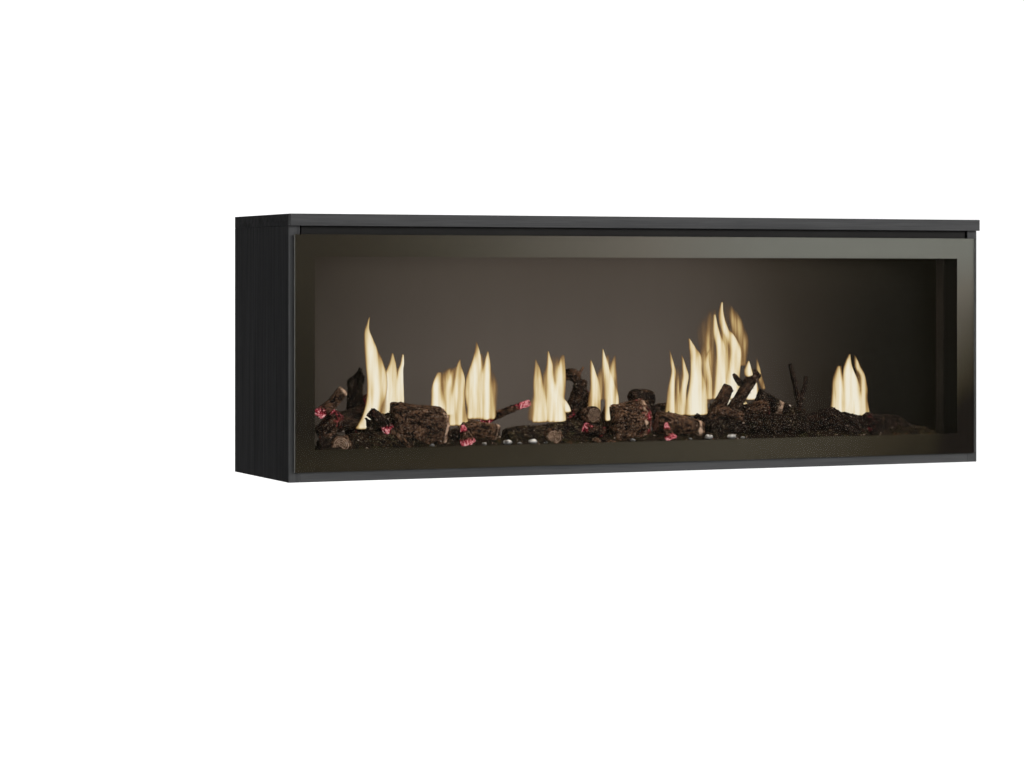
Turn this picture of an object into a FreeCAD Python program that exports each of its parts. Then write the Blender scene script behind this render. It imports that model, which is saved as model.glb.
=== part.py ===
"""Wall-hung electric fireplace: board cabinet, glass front, log bed, flame rotor and fan heater.

Millimetres. The origin is the centre of the wall rail's screw holes, on the wall's face. +X runs along
the cabinet, the front faces -Y, +Z is up.
"""
import FreeCAD, Part
import math
import os
import re
import Sketcher
from FreeCAD import Placement, Rotation, Vector

SIZES = [
    # cabinet
    ("cabinet_width", 1200), ("cabinet_height", 400), ("side_depth", 260), ("top_overhang", 10),
    ("board", 18), ("top_rise", 60), ("edge_round", 0.8), ("groove_depth", 6), ("back_board", 4),
    ("back_gap", 22), ("dowel_radius", 4), ("cam_radius", 7.5), ("cam_depth", 12.5), ("bolt_radius", 3.5),
    # wall rails
    ("rail_gauge", 2), ("wall_rail_half", 550), ("cabinet_rail_half", 578), ("rail_hole_radius", 3),
    ("rail_hole_x", 520), ("rail_hole_z", 8), ("rail_top", 34), ("rail_foot", 18),
    # glass front
    ("glass_half", 593), ("glass_bottom", -326), ("glass_top", 30), ("glass_back", -264), ("glass_gauge", 5),
    ("glass_round", 2), ("border_gauge", 0.4), ("window_half", 560), ("window_bottom", -292), ("window_top", -4),
    ("strip_gauge", 1.5), ("strip_half", 560), ("strip_height", 16), ("lower_strip_z", -310),
    ("upper_strip_z", 18), ("pin_radius", 3), ("pin_x", 480), ("magnet_x", 520), ("running_gap", 0.05),
    # steel casing
    ("gauge", 1), ("casing_half", 579), ("casing_front", -256), ("casing_rear", -60), ("casing_roof_top", 38),
    ("flange", 13), ("screw_radius", 1.5), ("vent_count", 18), ("slot_count", 21), ("gland_x", 500),
    ("gland_z", -285), ("gland_radius", 10), ("cord_radius", 3.6),
    # firebox
    ("liner_half", 573), ("tray_top", -298), ("canopy_under", 2), ("screen_face", -182), ("screen_gauge", 3),
    ("firebox_front", -255), ("bed_height", 5), ("bed_half", 545),
    # flame rotor
    ("rotor_y", -120), ("rotor_z", -250), ("shaft_radius", 3), ("blade_radius", 23), ("blade_width", 34),
    ("blade_gauge", 0.5), ("bush_radius", 6), ("bracket_x", 546), ("mask_y", -166), ("motor_radius", 25),
    # fan heater
    ("fan_y", -100), ("fan_z", -8), ("fan_radius", 28), ("fan_half", 222), ("housing_half", 230),
    ("vane_count", 24), ("duct_floor", 4),
    # controls
    ("panel_left", 380), ("panel_right", 500), ("panel_front", -237), ("panel_rear", -177),
    ("panel_face", -338), ("panel_gauge", 3), ("control_y", -207), ("rocker_x", 400), ("rocker_z", -333),
    ("rocker_tilt", 7), ("button_radius", 5), ("board_under", -324), ("board_gauge", 1.6),
]
SIZE = dict(SIZES)

# Faces that many pieces meet, as formulas on the sheet.
HALF = "(cabinet_width / 2)"
INNER = "(cabinet_width / 2 - board)"
TOP = "top_rise"
LID = "(top_rise - board)"
BASE = "(top_rise - cabinet_height)"
FLOOR = "(top_rise - cabinet_height + board)"
DECK = "(top_rise - cabinet_height + board + gauge)"
CEILING = "(casing_roof_top - gauge)"
GROOVE_FRONT = "(-back_gap - back_board)"
GROOVE_REAR = "(-back_gap)"

doc = FreeCAD.newDocument("electric_fireplace")
sheet = doc.addObject("Spreadsheet::Sheet", "Sizes")
for row, (alias, number) in enumerate(SIZES, start=1):
    sheet.set(f"A{row}", alias)
    sheet.set(f"B{row}", str(number))
    sheet.setAlias(f"B{row}", alias)
doc.recompute()

nodes = []


def formula(text):
    """A formula with each sheet alias written the way an expression names it."""
    return re.sub(r"[a-z_]{3,}", lambda word: f"Sizes.{word.group()}" if word.group() in SIZE else word.group(),
                  str(text))


def keep(piece):
    """Marks a finished sub-part, which gets its own file."""
    nodes.append(piece)
    return piece


def mirrored(sign, low, high):
    """The stretch low to high on the right (+1), or its mirror image on the left (-1)."""
    return (low, high) if sign > 0 else (f"-({high})", f"-({low})")


def mirrored_about(centre, sign, near, far):
    """A stretch near to far from a centre line, on its + or - side."""
    if sign > 0:
        return f"{centre} + {near}", f"{centre} + {far}"
    return f"{centre} - {far}", f"{centre} - {near}"


def box(name, x, y, z):
    """A block; each axis has a (low, high) pair of formulas."""
    block = doc.addObject("Part::Box", name)
    for axis, length, (low, high) in zip("xyz", ("Length", "Width", "Height"), (x, y, z)):
        block.setExpression(length, formula(f"({high}) - ({low})"))
        block.setExpression(f"Placement.Base.{axis}", formula(low))
    return block


ALONG = {"x": Rotation(Vector(0, 1, 0), 90), "y": Rotation(Vector(1, 0, 0), -90), "z": Rotation()}


def rod(name, axis, start, end, across, radius):
    """A round bar along an axis; across holds its centre on the other two axes, in x, y, z order."""
    bar = doc.addObject("Part::Cylinder", name)
    bar.Placement = Placement(Vector(), ALONG[axis])
    bar.setExpression("Radius", formula(radius))
    bar.setExpression("Height", formula(f"({end}) - ({start})"))
    places = dict(zip("xyz".replace(axis, ""), across))
    places[axis] = start
    for letter, place in places.items():
        bar.setExpression(f"Placement.Base.{letter}", formula(place))
    return bar


def group(name, pieces):
    """Separate solids held as one object."""
    bundle = doc.addObject("Part::Compound", name)
    bundle.Links = pieces
    return bundle


def cut(name, base, tools):
    """The base with every tool taken out of it."""
    result = doc.addObject("Part::Cut", name)
    result.Base = base
    result.Tool = tools[0] if len(tools) == 1 else group(f"{name}_tools", tools)
    return result


def fuse(name, pieces):
    """The pieces joined into one solid."""
    result = doc.addObject("Part::MultiFuse", name)
    result.Shapes = pieces
    return result


def rectangle(left, bottom, right, top):
    return [(left, bottom), (right, bottom), (right, top), (left, top)]


def origin_feature(body, role):
    return next(item for item in body.Origin.OriginFeatures if item.Role == role)


def sketch_on(body, plane, offset, outlines, circles=()):
    """A fully constrained sketch on one of the body's origin planes, shifted along its normal."""
    sketch = body.newObject("Sketcher::SketchObject", f"{body.Name}_sketch")
    sketch.AttachmentSupport = [(origin_feature(body, f"{plane}_Plane"), "")]
    sketch.MapMode = "FlatFace"
    sketch.setExpression("AttachmentOffset.Base.z", formula(offset))

    def pin_point(element, position, place):
        for kind, distance in zip(("DistanceX", "DistanceY"), place):
            index = sketch.addConstraint(Sketcher.Constraint(kind, -1, 1, element, position, 1.0))
            sketch.setExpression(f"Constraints[{index}]", formula(distance))

    for outline in outlines:
        first = sketch.GeometryCount
        count = len(outline)
        for step in range(count):
            turn = 2 * math.pi * step / count
            following = 2 * math.pi * (step + 1) / count
            sketch.addGeometry(Part.LineSegment(Vector(math.cos(turn), math.sin(turn), 0),
                                                Vector(math.cos(following), math.sin(following), 0)))
        for step in range(count):
            sketch.addConstraint(
                Sketcher.Constraint("Coincident", first + step, 2, first + (step + 1) % count, 1))
        for step, place in enumerate(outline):
            pin_point(first + step, 1, place)
    for across, up, radius in circles:
        index = sketch.addGeometry(Part.Circle(Vector(0, 0, 0), Vector(0, 0, 1), 1.0))
        pin_point(index, 3, (across, up))
        rule = sketch.addConstraint(Sketcher.Constraint("Radius", index, 1.0))
        sketch.setExpression(f"Constraints[{rule}]", formula(radius))
    return sketch


def pad(body, plane, low, high, outlines, circles=()):
    """Pads closed outlines from low to high along the plane's own world axis."""
    start = f"-({high})" if plane == "XZ" else low
    feature = body.newObject("PartDesign::Pad", f"{body.Name}_pad")
    feature.Profile = sketch_on(body, plane, start, outlines, circles)
    feature.setExpression("Length", formula(f"({high}) - ({low})"))
    return feature


def plate(name, plane, low, high, outline, windows=(), holes=()):
    """A flat or folded piece: one outline, with windows and round holes, padded from low to high."""
    body = doc.addObject("PartDesign::Body", name)
    pad(body, plane, low, high, [outline, *windows], holes)
    return body


def slot_row(body, outline, count, pitch):
    """Pockets an outline through a plate that stands in XZ, and repeats it along +X."""
    doc.recompute()
    solid_volume = body.Shape.Volume
    pocket = body.newObject("PartDesign::Pocket", f"{body.Name}_slot")
    pocket.Profile = sketch_on(body, "XZ", 0, [outline])
    pocket.Type = "ThroughAll"
    pocket.Midplane = True
    pattern = body.newObject("PartDesign::LinearPattern", f"{body.Name}_slots")
    pattern.Originals = [pocket]
    pattern.Direction = (origin_feature(body, "X_Axis"), [""])
    pattern.setExpression("Length", formula(f"({pitch}) * ({count} - 1)"))
    pattern.setExpression("Occurrences", formula(count))
    body.Tip = pattern
    doc.recompute()
    if body.Shape.Volume >= solid_volume:
        raise RuntimeError(f"{body.Label}: the slots cut nothing")
    return body


def rounded_board(name, x, y, z):
    """A melamine board with softly rounded arrises."""
    body = doc.addObject("PartDesign::Body", name)
    base = pad(body, "XY", z[0], z[1], [rectangle(x[0], y[0], x[1], y[1])])
    doc.recompute()
    fillet = body.newObject("PartDesign::Fillet", f"{name}_arris")
    fillet.Base = (base, [f"Edge{number + 1}" for number in range(len(base.Shape.Edges))])
    fillet.setExpression("Radius", formula("edge_round"))
    return body


# ---------------------------------------------------------------- cabinet boards and their fittings
DOWEL_Y = (-45, -215)
CAM_Y = -130
BOLT_DROP = 34


def dowels_and_cams(name, clearance):
    """Dowels, cam discs and cam bolts at the four corners, made as solids or as their own drillings."""
    dowels = []
    cams = []
    for sign in (-1, 1):
        centre = f"{sign} * ({HALF} - board / 2)"
        for row, place in enumerate(DOWEL_Y):
            dowels.append(rod(f"{name}_upright{sign + 1}{row}", "z", f"{LID} - 23 - {clearance}",
                              f"{LID} + 11.5 + {clearance}", (centre, place), "dowel_radius"))
            low, high = mirrored(sign, f"{INNER} - 22.5 - {clearance}", f"{INNER} + 11.5 + {clearance}")
            dowels.append(rod(f"{name}_level{sign + 1}{row}", "x", low, high,
                              (place, f"{BASE} + board / 2"), "dowel_radius"))
        low, high = mirrored(sign, INNER, f"{INNER} + cam_depth")
        cams.append(rod(f"{name}_side_cam{sign + 1}", "x", low, high, (CAM_Y, f"{LID} - {BOLT_DROP}"),
                        "cam_radius"))
        cams.append(rod(f"{name}_side_bolt{sign + 1}", "z", f"{LID} - {BOLT_DROP} + cam_radius",
                        f"{LID} + 11 + {clearance}", (centre, CAM_Y), "bolt_radius"))
        cams.append(rod(f"{name}_base_cam{sign + 1}", "z", f"{FLOOR} - cam_depth", FLOOR,
                        (f"{sign} * ({INNER} - {BOLT_DROP})", CAM_Y), "cam_radius"))
        low, high = mirrored(sign, f"{INNER} - {BOLT_DROP} + cam_radius", f"{INNER} + 11 + {clearance}")
        cams.append(rod(f"{name}_base_bolt{sign + 1}", "x", low, high, (CAM_Y, f"{BASE} + board / 2"),
                        "bolt_radius"))
    return dowels, cams


def bracket_screws(name):
    """Screws that hold the rail's end brackets to the rail (along Y) and to the side boards (along X)."""
    shanks = []
    heads = []
    for sign in (-1, 1):
        for row, height in enumerate((-8, 8)):
            label = f"{name}{sign + 1}{row}"
            shanks.append(rod(f"{label}_short", "y", "-back_gap", "-back_gap + 2 * rail_gauge",
                              (f"{sign} * 552", height), 2))
            heads.append(rod(f"{label}_short_head", "y", "-back_gap + 2 * rail_gauge",
                             "-back_gap + 2 * rail_gauge + 2.2", (f"{sign} * 552", height), 3.8))
            low, high = mirrored(sign, f"{INNER} - rail_gauge", f"{INNER} + 14")
            shanks.append(rod(f"{label}_long", "x", low, high, (-10, height), 2))
            low, high = mirrored(sign, f"{INNER} - rail_gauge - 2.2", f"{INNER} - rail_gauge")
            heads.append(rod(f"{label}_long_head", "x", low, high, (-10, height), 3.8))
    return shanks, heads


def build_cabinet():
    dowel_holes, cam_holes = dowels_and_cams("drilling", 0.5)
    screw_holes, _ = bracket_screws("screw_hole")
    drillings = group("board_drillings", dowel_holes + cam_holes + screw_holes)
    depth = ("-side_depth", 0)
    groove = box("back_groove", (f"-{INNER} - groove_depth", f"{INNER} + groove_depth"),
                 (GROOVE_FRONT, GROOVE_REAR), (f"{FLOOR} - groove_depth", f"{LID} + groove_depth"))
    tools = group("board_cutters", [drillings, groove])

    top = rounded_board("top_board", (f"-{HALF}", HALF), ("-side_depth - top_overhang", 0), (LID, TOP))
    keep(cut("top_panel", top, [tools]))
    hatch = box("control_hatch", ("panel_left", "panel_right"), ("panel_front", "panel_rear"),
                (f"{BASE} - 5", f"{FLOOR} + 5"))
    bottom = rounded_board("bottom_board", (f"-{INNER}", INNER), depth, (BASE, FLOOR))
    keep(cut("bottom_panel", bottom, [tools, hatch]))
    for side, sign in (("left", -1), ("right", 1)):
        board = rounded_board(f"{side}_board", mirrored(sign, INNER, HALF), depth, (BASE, LID))
        keep(cut(f"{side}_side_panel", board, [tools]))

    cord_opening = rectangle("gland_x - 30", "gland_z - 30", "gland_x + 30", "gland_z + 30")
    vent = rectangle(-60, "fan_z - 25", 60, "fan_z - 5")
    edge = "(groove_depth - 0.5)"
    keep(plate("back_panel", "XZ", GROOVE_FRONT, GROOVE_REAR,
               rectangle(f"-{INNER} - {edge}", f"{FLOOR} - {edge}", f"{INNER} + {edge}", f"{LID} + {edge}"),
               windows=[cord_opening, vent]))
    dowels, cams = dowels_and_cams("fitting", 0)
    keep(group("panel_dowels", dowels))
    keep(group("cam_fittings", cams))


def build_wall_rails():
    lip = -10
    wall_profile = [(0, "-rail_foot"), (0, "rail_foot"), (f"{lip} + rail_gauge", "rail_foot"),
                    (f"{lip} + rail_gauge", "rail_top - rail_gauge"), (lip, "rail_top - rail_gauge"),
                    (lip, "rail_foot - rail_gauge"), ("-rail_gauge", "rail_foot - rail_gauge"),
                    ("-rail_gauge", "-rail_foot")]
    rail = plate("wall_rail_section", "YZ", "-wall_rail_half", "wall_rail_half", wall_profile)
    holes = [rod(f"wall_hole{column + 1}{row + 1}", "y", -20, 20,
                 (f"{column} * rail_hole_x", f"{row} * rail_hole_z"), "rail_hole_radius")
             for column in (-1, 1) for row in (-1, 1)]
    keep(cut("wall_rail", rail, holes))

    hook = -4.5
    cabinet_profile = [("-back_gap", "-rail_foot"), ("-back_gap", "rail_top"), (hook, "rail_top"),
                       (hook, "rail_foot + 2"), (f"{hook} - rail_gauge", "rail_foot + 2"),
                       (f"{hook} - rail_gauge", "rail_top - rail_gauge"),
                       ("-back_gap + rail_gauge", "rail_top - rail_gauge"),
                       ("-back_gap + rail_gauge", "-rail_foot")]
    hanging = plate("cabinet_rail_section", "YZ", "-cabinet_rail_half", "cabinet_rail_half", cabinet_profile)
    shanks, heads = bracket_screws("bracket_screw")
    keep(cut("cabinet_rail", hanging, [group("rail_shanks", shanks)]))

    angles = []
    for side, sign in (("left", -1), ("right", 1)):
        face = "-back_gap + rail_gauge"
        profile = [(540, face), (INNER, face), (INNER, -3), (f"{INNER} - rail_gauge", -3),
                   (f"{INNER} - rail_gauge", f"{face} + rail_gauge"), (540, f"{face} + rail_gauge")]
        outline = [(f"{sign} * ({across})", along) for across, along in profile]
        angle = plate(f"{side}_angle", "XY", -14, 14, outline)
        angles.append(cut(f"{side}_bracket", angle, [group(f"{side}_bracket_holes", shanks)]))
    keep(group("rail_brackets", angles))
    keep(group("bracket_screws", shanks + heads))
    keep(group("wall_bumpers", [rod(f"bumper{sign + 1}", "y", "-back_gap", 0, (f"{sign} * 540", -300), 10)
                                for sign in (-1, 1)]))


# ---------------------------------------------------------------- glass front, pulled straight off
def corners():
    """The four places of the front's locating pins, as side signs and strip heights."""
    return [(sign, height) for sign in (-1, 1) for height in ("lower_strip_z", "upper_strip_z")]


BORDER_BACK = "(glass_back + border_gauge)"
STRIP_BACK = "(glass_back + border_gauge + strip_gauge)"


def build_glass_front():
    pane = doc.addObject("PartDesign::Body", "front_glass")
    outline = rectangle("-glass_half", "glass_bottom", "glass_half", "glass_top")
    blank = pad(pane, "XZ", "glass_back - glass_gauge", "glass_back", [outline])
    doc.recompute()
    upright = [f"Edge{number}" for number, edge in enumerate(blank.Shape.Edges, start=1)
               if abs(edge.tangentAt(edge.FirstParameter).y) > 0.9]
    fillet = pane.newObject("PartDesign::Fillet", "glass_corners")
    fillet.Base = (blank, upright)
    fillet.setExpression("Radius", formula("glass_round"))
    keep(pane)

    keep(plate("glass_border", "XZ", "glass_back", BORDER_BACK,
               rectangle("-glass_half + 1", "glass_bottom + 1", "glass_half - 1", "glass_top - 1"),
               windows=[rectangle("-window_half", "window_bottom", "window_half", "window_top")]))
    keep(group("glass_strips", [
        box(f"{height}_strip", ("-strip_half", "strip_half"), (BORDER_BACK, STRIP_BACK),
            (f"{height} - strip_height / 2 + 1", f"{height} + strip_height / 2 - 1"))
        for height in ("lower_strip_z", "upper_strip_z")]))
    pins = []
    bushes = []
    magnets = []
    for number, (sign, height) in enumerate(corners()):
        centre = (f"{sign} * pin_x", height)
        pins.append(rod(f"locating_pin{number}", "y", STRIP_BACK, "casing_front + 7", centre, "pin_radius"))
        ring = rod(f"bush_ring{number}", "y", "casing_front - 3", "casing_front + 2", centre, "pin_radius + 2")
        bore = rod(f"bush_bore{number}", "y", "casing_front - 5", "casing_front + 4", centre,
                   "pin_radius + running_gap")
        bushes.append(cut(f"pin_bush{number}", ring, [bore]))
        magnets.append(rod(f"magnet{number}", "y", f"{STRIP_BACK} + 0.1", "casing_front - gauge",
                           (f"{sign} * magnet_x", height), 6))
    keep(group("locating_pins", pins))
    keep(group("pin_bushes", bushes))
    keep(group("catch_magnets", magnets))
    keep(group("glass_buffers", [
        rod(f"buffer{sign + 1}{row}", "y", "glass_back + border_gauge + 0.2", "-side_depth",
            (f"{sign} * ({INNER} + 5)", height), 4)
        for sign in (-1, 1) for row, height in enumerate((-318, 22))]))


# ---------------------------------------------------------------- sheet-steel casing
COVER_FRONT = "(casing_rear - gauge)"
SCREW_Z = (-290, -150, -10)


def build_casing():
    edge = "casing_half"
    screws = []
    shanks = []
    for sign in (-1, 1):
        for row, height in enumerate(SCREW_Z):
            centre = (f"{sign} * (casing_half - 7)", height)
            shank = rod(f"casing_shank{sign + 1}{row}", "y", "casing_rear - 8", "casing_rear", centre,
                        "screw_radius")
            head = rod(f"casing_head{sign + 1}{row}", "y", "casing_rear", "casing_rear + 2", centre, 3.2)
            shanks.append(shank)
            screws.append(fuse(f"casing_screw{sign + 1}{row}", [shank, head]))
    keep(group("casing_screws", screws))

    hatch = rectangle("panel_left", "panel_front", "panel_right", "panel_rear")
    keep(plate("casing_floor", "XY", FLOOR, DECK,
               rectangle(f"-{edge}", "casing_front", edge, COVER_FRONT), windows=[hatch]))
    keep(box("casing_roof", (f"-{edge}", edge), ("casing_front", COVER_FRONT), (CEILING, "casing_roof_top")))
    for side, sign in (("left", -1), ("right", 1)):
        profile = [(edge, "casing_front"), (edge, COVER_FRONT), (f"{edge} - flange", COVER_FRONT),
                   (f"{edge} - flange", f"{COVER_FRONT} - gauge"), (f"{edge} - gauge", f"{COVER_FRONT} - gauge"),
                   (f"{edge} - gauge", "casing_front")]
        outline = [(f"{sign} * ({across})", along) for across, along in profile]
        wall = plate(f"{side}_wall", "XY", DECK, CEILING, outline)
        keep(cut(f"casing_{side}_end", wall, [group(f"{side}_wall_holes", shanks)]))

    cover = plate("rear_sheet", "XZ", COVER_FRONT, "casing_rear",
                  rectangle(f"-{edge}", FLOOR, edge, "casing_roof_top"),
                  holes=[("gland_x", "gland_z", "gland_radius")])
    slot_row(cover, rectangle(-174, "fan_z - 30", -166, "fan_z + 30"), "vent_count", 20)
    keep(cut("casing_rear_cover", cover, [group("cover_holes", shanks)]))

    opening = rectangle("-liner_half + 0.5", "tray_top - 0.5", "liner_half - 0.5", "canopy_under")
    bush_holes = [(f"{sign} * pin_x", height, "pin_radius + 2") for sign, height in corners()]
    frame = plate("casing_front_frame", "XZ", "casing_front - gauge", "casing_front",
                  rectangle(f"-{edge}", FLOOR, edge, f"{LID} - 0.5"), windows=[opening], holes=bush_holes)
    slot_row(frame, rectangle(-206, 8, -194, 28), "slot_count", 20)
    keep(frame)


# ---------------------------------------------------------------- firebox and log bed
BED_TOP = "(tray_top + bed_height)"

# Each log is a tapered bar: two ends as (x, depth behind the side boards' front edges, height over the
# cabinet's underside) and a radius at each end.
LEFT_LOGS = [
    ((-513, 13, 60), (-543, 42, 62), 13, 12), ((-491, 26, 63), (-382, 27, 58), 13, 12),
    ((-541, 35, 104), (-507, 37, 139), 9, 7), ((-536, 42, 74), (-514, 28, 98), 17, 12),
    ((-479, 62, 168), (-469, 58, 66), 9, 13), ((-452, 56, 112), (-414, 60, 134), 15, 13),
    ((-468, 28, 103), (-456, 20, 70), 8, 7), ((-466, 42, 88), (-424, 42, 96), 20, 19),
    ((-455, 15, 76), (-434, 14, 50), 4, 4), ((-422, 43, 81), (-338, 42, 81), 34, 34),
    ((-338, 46, 64), (-319, 22, 61), 14, 13), ((-317, 14, 76), (-292, 14, 52), 8, 6),
    ((-301, 42, 80), (-250, 28, 68), 17, 14), ((-262, 58, 84), (-185, 60, 108), 7, 5),
]
CENTRE_LOGS = [
    ((-228, 34, 66), (-72, 38, 66), 17, 19), ((-166, 14, 58), (-160, 36, 61), 9, 10),
    ((-117, 50, 150), (-131, 52, 80), 8, 12), ((-116, 58, 100), (-78, 60, 112), 15, 17),
    ((-86, 28, 92), (-88, 56, 94), 14, 15), ((-100, 20, 76), (-78, 18, 66), 8, 8),
    ((-92, 13, 52), (-62, 13, 51), 4, 4), ((-50, 43, 80), (8, 42, 80), 34, 34),
    ((-4, 56, 112), (28, 58, 119), 14, 12), ((24, 20, 62), (48, 16, 57), 9, 8),
    ((32, 38, 76), (100, 27, 64), 17, 14),
]
RIGHT_LOGS = [
    ((117, 36, 66), (288, 38, 63), 18, 20), ((120, 45, 82), (153, 47, 132), 11, 9),
    ((152, 50, 86), (212, 42, 149), 10, 8), ((176, 62, 136), (199, 60, 155), 12, 10),
    ((190, 42, 90), (222, 34, 98), 17, 15), ((226, 60, 116), (299, 50, 84), 13, 11),
    ((286, 62, 158), (306, 60, 74), 6, 8), ((286, 40, 62), (416, 42, 70), 20, 27),
    ((414, 42, 70), (478, 41, 58), 27, 19), ((474, 41, 58), (528, 40, 52), 19, 10),
]
PEBBLES = [(-243, 6), (-228, 5), (-198, 6), (-182, 4.5), (80, 6), (92, 4.5), (126, 5.5), (172, 5), (240, 6),
           (333, 4.5), (500, 5.5)]


def bar_between(name, start, end, start_radius, end_radius):
    """One tapered log between two points of the bed."""
    first, last = (Vector(x, depth - SIZE["side_depth"], height + SIZE["top_rise"] - SIZE["cabinet_height"])
                   for x, depth, height in (start, end))
    log = doc.addObject("Part::Cone", name)
    log.Radius1 = start_radius
    log.Radius2 = end_radius + (0.01 if end_radius == start_radius else 0)
    log.Height = (last - first).Length
    log.Placement = Placement(first, Rotation(Vector(0, 0, 1), last - first))
    return log


def build_log_set(name, logs):
    """A moulded set: its logs joined, and trimmed flat where it stands on the bed."""
    joined = fuse(f"{name}_bars", [bar_between(f"{name}_bar{number}", *log)
                                   for number, log in enumerate(logs)])
    room = box(f"{name}_room", ("-liner_half", "liner_half"), ("firebox_front + 2", "screen_face - 2"),
               (BED_TOP, "canopy_under"))
    trimmed = doc.addObject("Part::Common", name)
    trimmed.Base = joined
    trimmed.Tool = room
    keep(trimmed)


def build_firebox():
    wall_rear = "(screen_face + screen_gauge + 9)"
    liners = []
    channels = []
    for side, sign in (("left", -1), ("right", 1)):
        liners.append(box(f"{side}_liner", mirrored(sign, "liner_half", "liner_half + gauge"),
                          ("firebox_front", wall_rear), ("tray_top", "canopy_under")))
        lip = mirrored(sign, "liner_half - 2", "liner_half")
        channels.append(box(f"{side}_channel_front", lip, ("screen_face - 22", "screen_face"),
                            ("tray_top", "canopy_under")))
        channels.append(box(f"{side}_channel_rear", lip, ("screen_face + screen_gauge", wall_rear),
                            ("tray_top", "canopy_under")))
    keep(group("inner_side_liners", liners))
    keep(group("screen_channels", channels))
    keep(box("flame_screen", ("-liner_half + 0.2", "liner_half - 0.2"),
             ("screen_face", "screen_face + screen_gauge"), ("tray_top", "canopy_under")))
    keep(box("canopy", ("-liner_half - gauge", "liner_half + gauge"), ("firebox_front", wall_rear),
             ("canopy_under", "canopy_under + gauge")))
    leg = "(liner_half - 2)"
    keep(plate("ember_tray", "XZ", "firebox_front", "screen_face - 0.5",
               [("-liner_half", DECK), (f"-{leg}", DECK), (f"-{leg}", "tray_top - 2"), (leg, "tray_top - 2"),
                (leg, DECK), ("liner_half", DECK), ("liner_half", "tray_top"), ("-liner_half", "tray_top")]))

    front = "(firebox_front + 3)"
    rear = "(screen_face - 6)"
    keep(plate("ember_bed", "XY", "tray_top", BED_TOP,
               [("-bed_half", f"{front} + 12"), ("-bed_half + 14", front), ("bed_half - 14", front),
                ("bed_half", f"{front} + 12"), ("bed_half", f"{rear} - 10"), ("bed_half - 18", rear),
                ("-bed_half + 18", rear), ("-bed_half", f"{rear} - 10")]))
    build_log_set("log_set_left", LEFT_LOGS)
    build_log_set("log_set_centre", CENTRE_LOGS)
    build_log_set("log_set_right", RIGHT_LOGS)
    stones = []
    for number, (across, radius) in enumerate(PEBBLES):
        stone = doc.addObject("Part::Sphere", f"pebble{number}")
        stone.Radius = radius
        stone.setExpression("Placement.Base.x", str(across))
        stone.setExpression("Placement.Base.y", formula("firebox_front + 6"))
        stone.setExpression("Placement.Base.z", formula(f"{BED_TOP} + {radius}"))
        stones.append(stone)
    keep(group("ember_pebbles", stones))


def light_strip(name, board, lamp_size, lamp_places):
    """A circuit strip with a row of square lamps standing on it."""
    strip = box(f"{name}_board", *board)
    lamps = [box(f"{name}_lamp{number}", (f"{across} - {lamp_size / 2}", f"{across} + {lamp_size / 2}"), y, z)
             for number, (across, y, z) in enumerate(lamp_places)]
    keep(group(name, [strip, *lamps]))


def build_flame_effect():
    axis = ("rotor_y", "rotor_z")
    shaft_end = "(bracket_x + 6)"
    motor_face = "(bracket_x + 10)"
    keep(rod("flame_shaft", "x", f"-{motor_face} - 11", shaft_end, axis, "shaft_radius"))

    stations = 24
    pitch = 45
    blades = []
    for station in range(stations):
        across = (station - (stations - 1) / 2) * pitch - SIZE["blade_width"] / 2
        for opposite in (0, 180):
            blade = doc.addObject("Part::Box", f"blade{station}_{opposite}")
            blade.setExpression("Length", formula("blade_width"))
            blade.setExpression("Width", formula("blade_gauge"))
            blade.setExpression("Height", formula("blade_radius - shaft_radius"))
            turn = Rotation(Vector(1, 0, 0), station * 50 + opposite)
            corner = turn.multVec(Vector(0, -SIZE["blade_gauge"] / 2, SIZE["shaft_radius"]))
            blade.Placement = Placement(Vector(across, SIZE["rotor_y"], SIZE["rotor_z"]) + corner, turn)
            blades.append(blade)
    keep(group("flame_blades", blades))

    brackets = []
    bushes = []
    for side, sign in (("left", -1), ("right", 1)):
        profile = [("bracket_x", DECK), ("bracket_x", "rotor_z + 12"), ("bracket_x + 2", "rotor_z + 12"),
                   ("bracket_x + 2", f"{DECK} + 2"), ("bracket_x + 18", f"{DECK} + 2"), ("bracket_x + 18", DECK)]
        outline = [(f"{sign} * ({across})", up) for across, up in profile]
        angle = plate(f"{side}_rotor_angle", "XZ", "rotor_y - 15", "rotor_y + 15", outline)
        low, high = mirrored(sign, "bracket_x - 3", "bracket_x + 5")
        seat = rod(f"{side}_bush_seat", "x", low, high, axis, "bush_radius")
        bore = rod(f"{side}_bush_bore", "x", f"{low} - 2", f"{high} + 2", axis, "shaft_radius + running_gap")
        brackets.append(cut(f"{side}_rotor_bracket", angle, [seat]))
        bushes.append(cut(f"{side}_rotor_bush", seat, [bore]))
    keep(group("rotor_brackets", brackets))
    keep(group("rotor_bushes", bushes))

    can = rod("motor_can", "x", "-casing_half + gauge", f"-{motor_face}", axis, "motor_radius")
    well = rod("motor_well", "x", f"-{motor_face} - 12", f"-{motor_face} + 2", axis,
               "shaft_radius + running_gap")
    keep(cut("flame_motor", can, [well]))

    lamp = 5
    face = "(mask_y + 15.6)"
    light_strip("flame_light_strip", ((-520, 520), ("mask_y + 14", face), (DECK, f"{DECK} + 16")), lamp,
                [(across, (face, f"{face} + 1.6"), (f"{DECK} + 6", f"{DECK} + 11"))
                 for across in range(-500, 501, 40)])
    deck = f"({DECK} + 1.6)"
    light_strip("ember_light_strip", ((-540, 540), ("firebox_front + 2", "firebox_front + 10"), (DECK, deck)),
                lamp, [(across, ("firebox_front + 3.5", "firebox_front + 8.5"), (deck, f"{deck} + 1.6"))
                       for across in range(-520, 521, 40)])
    build_flame_mask()


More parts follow.
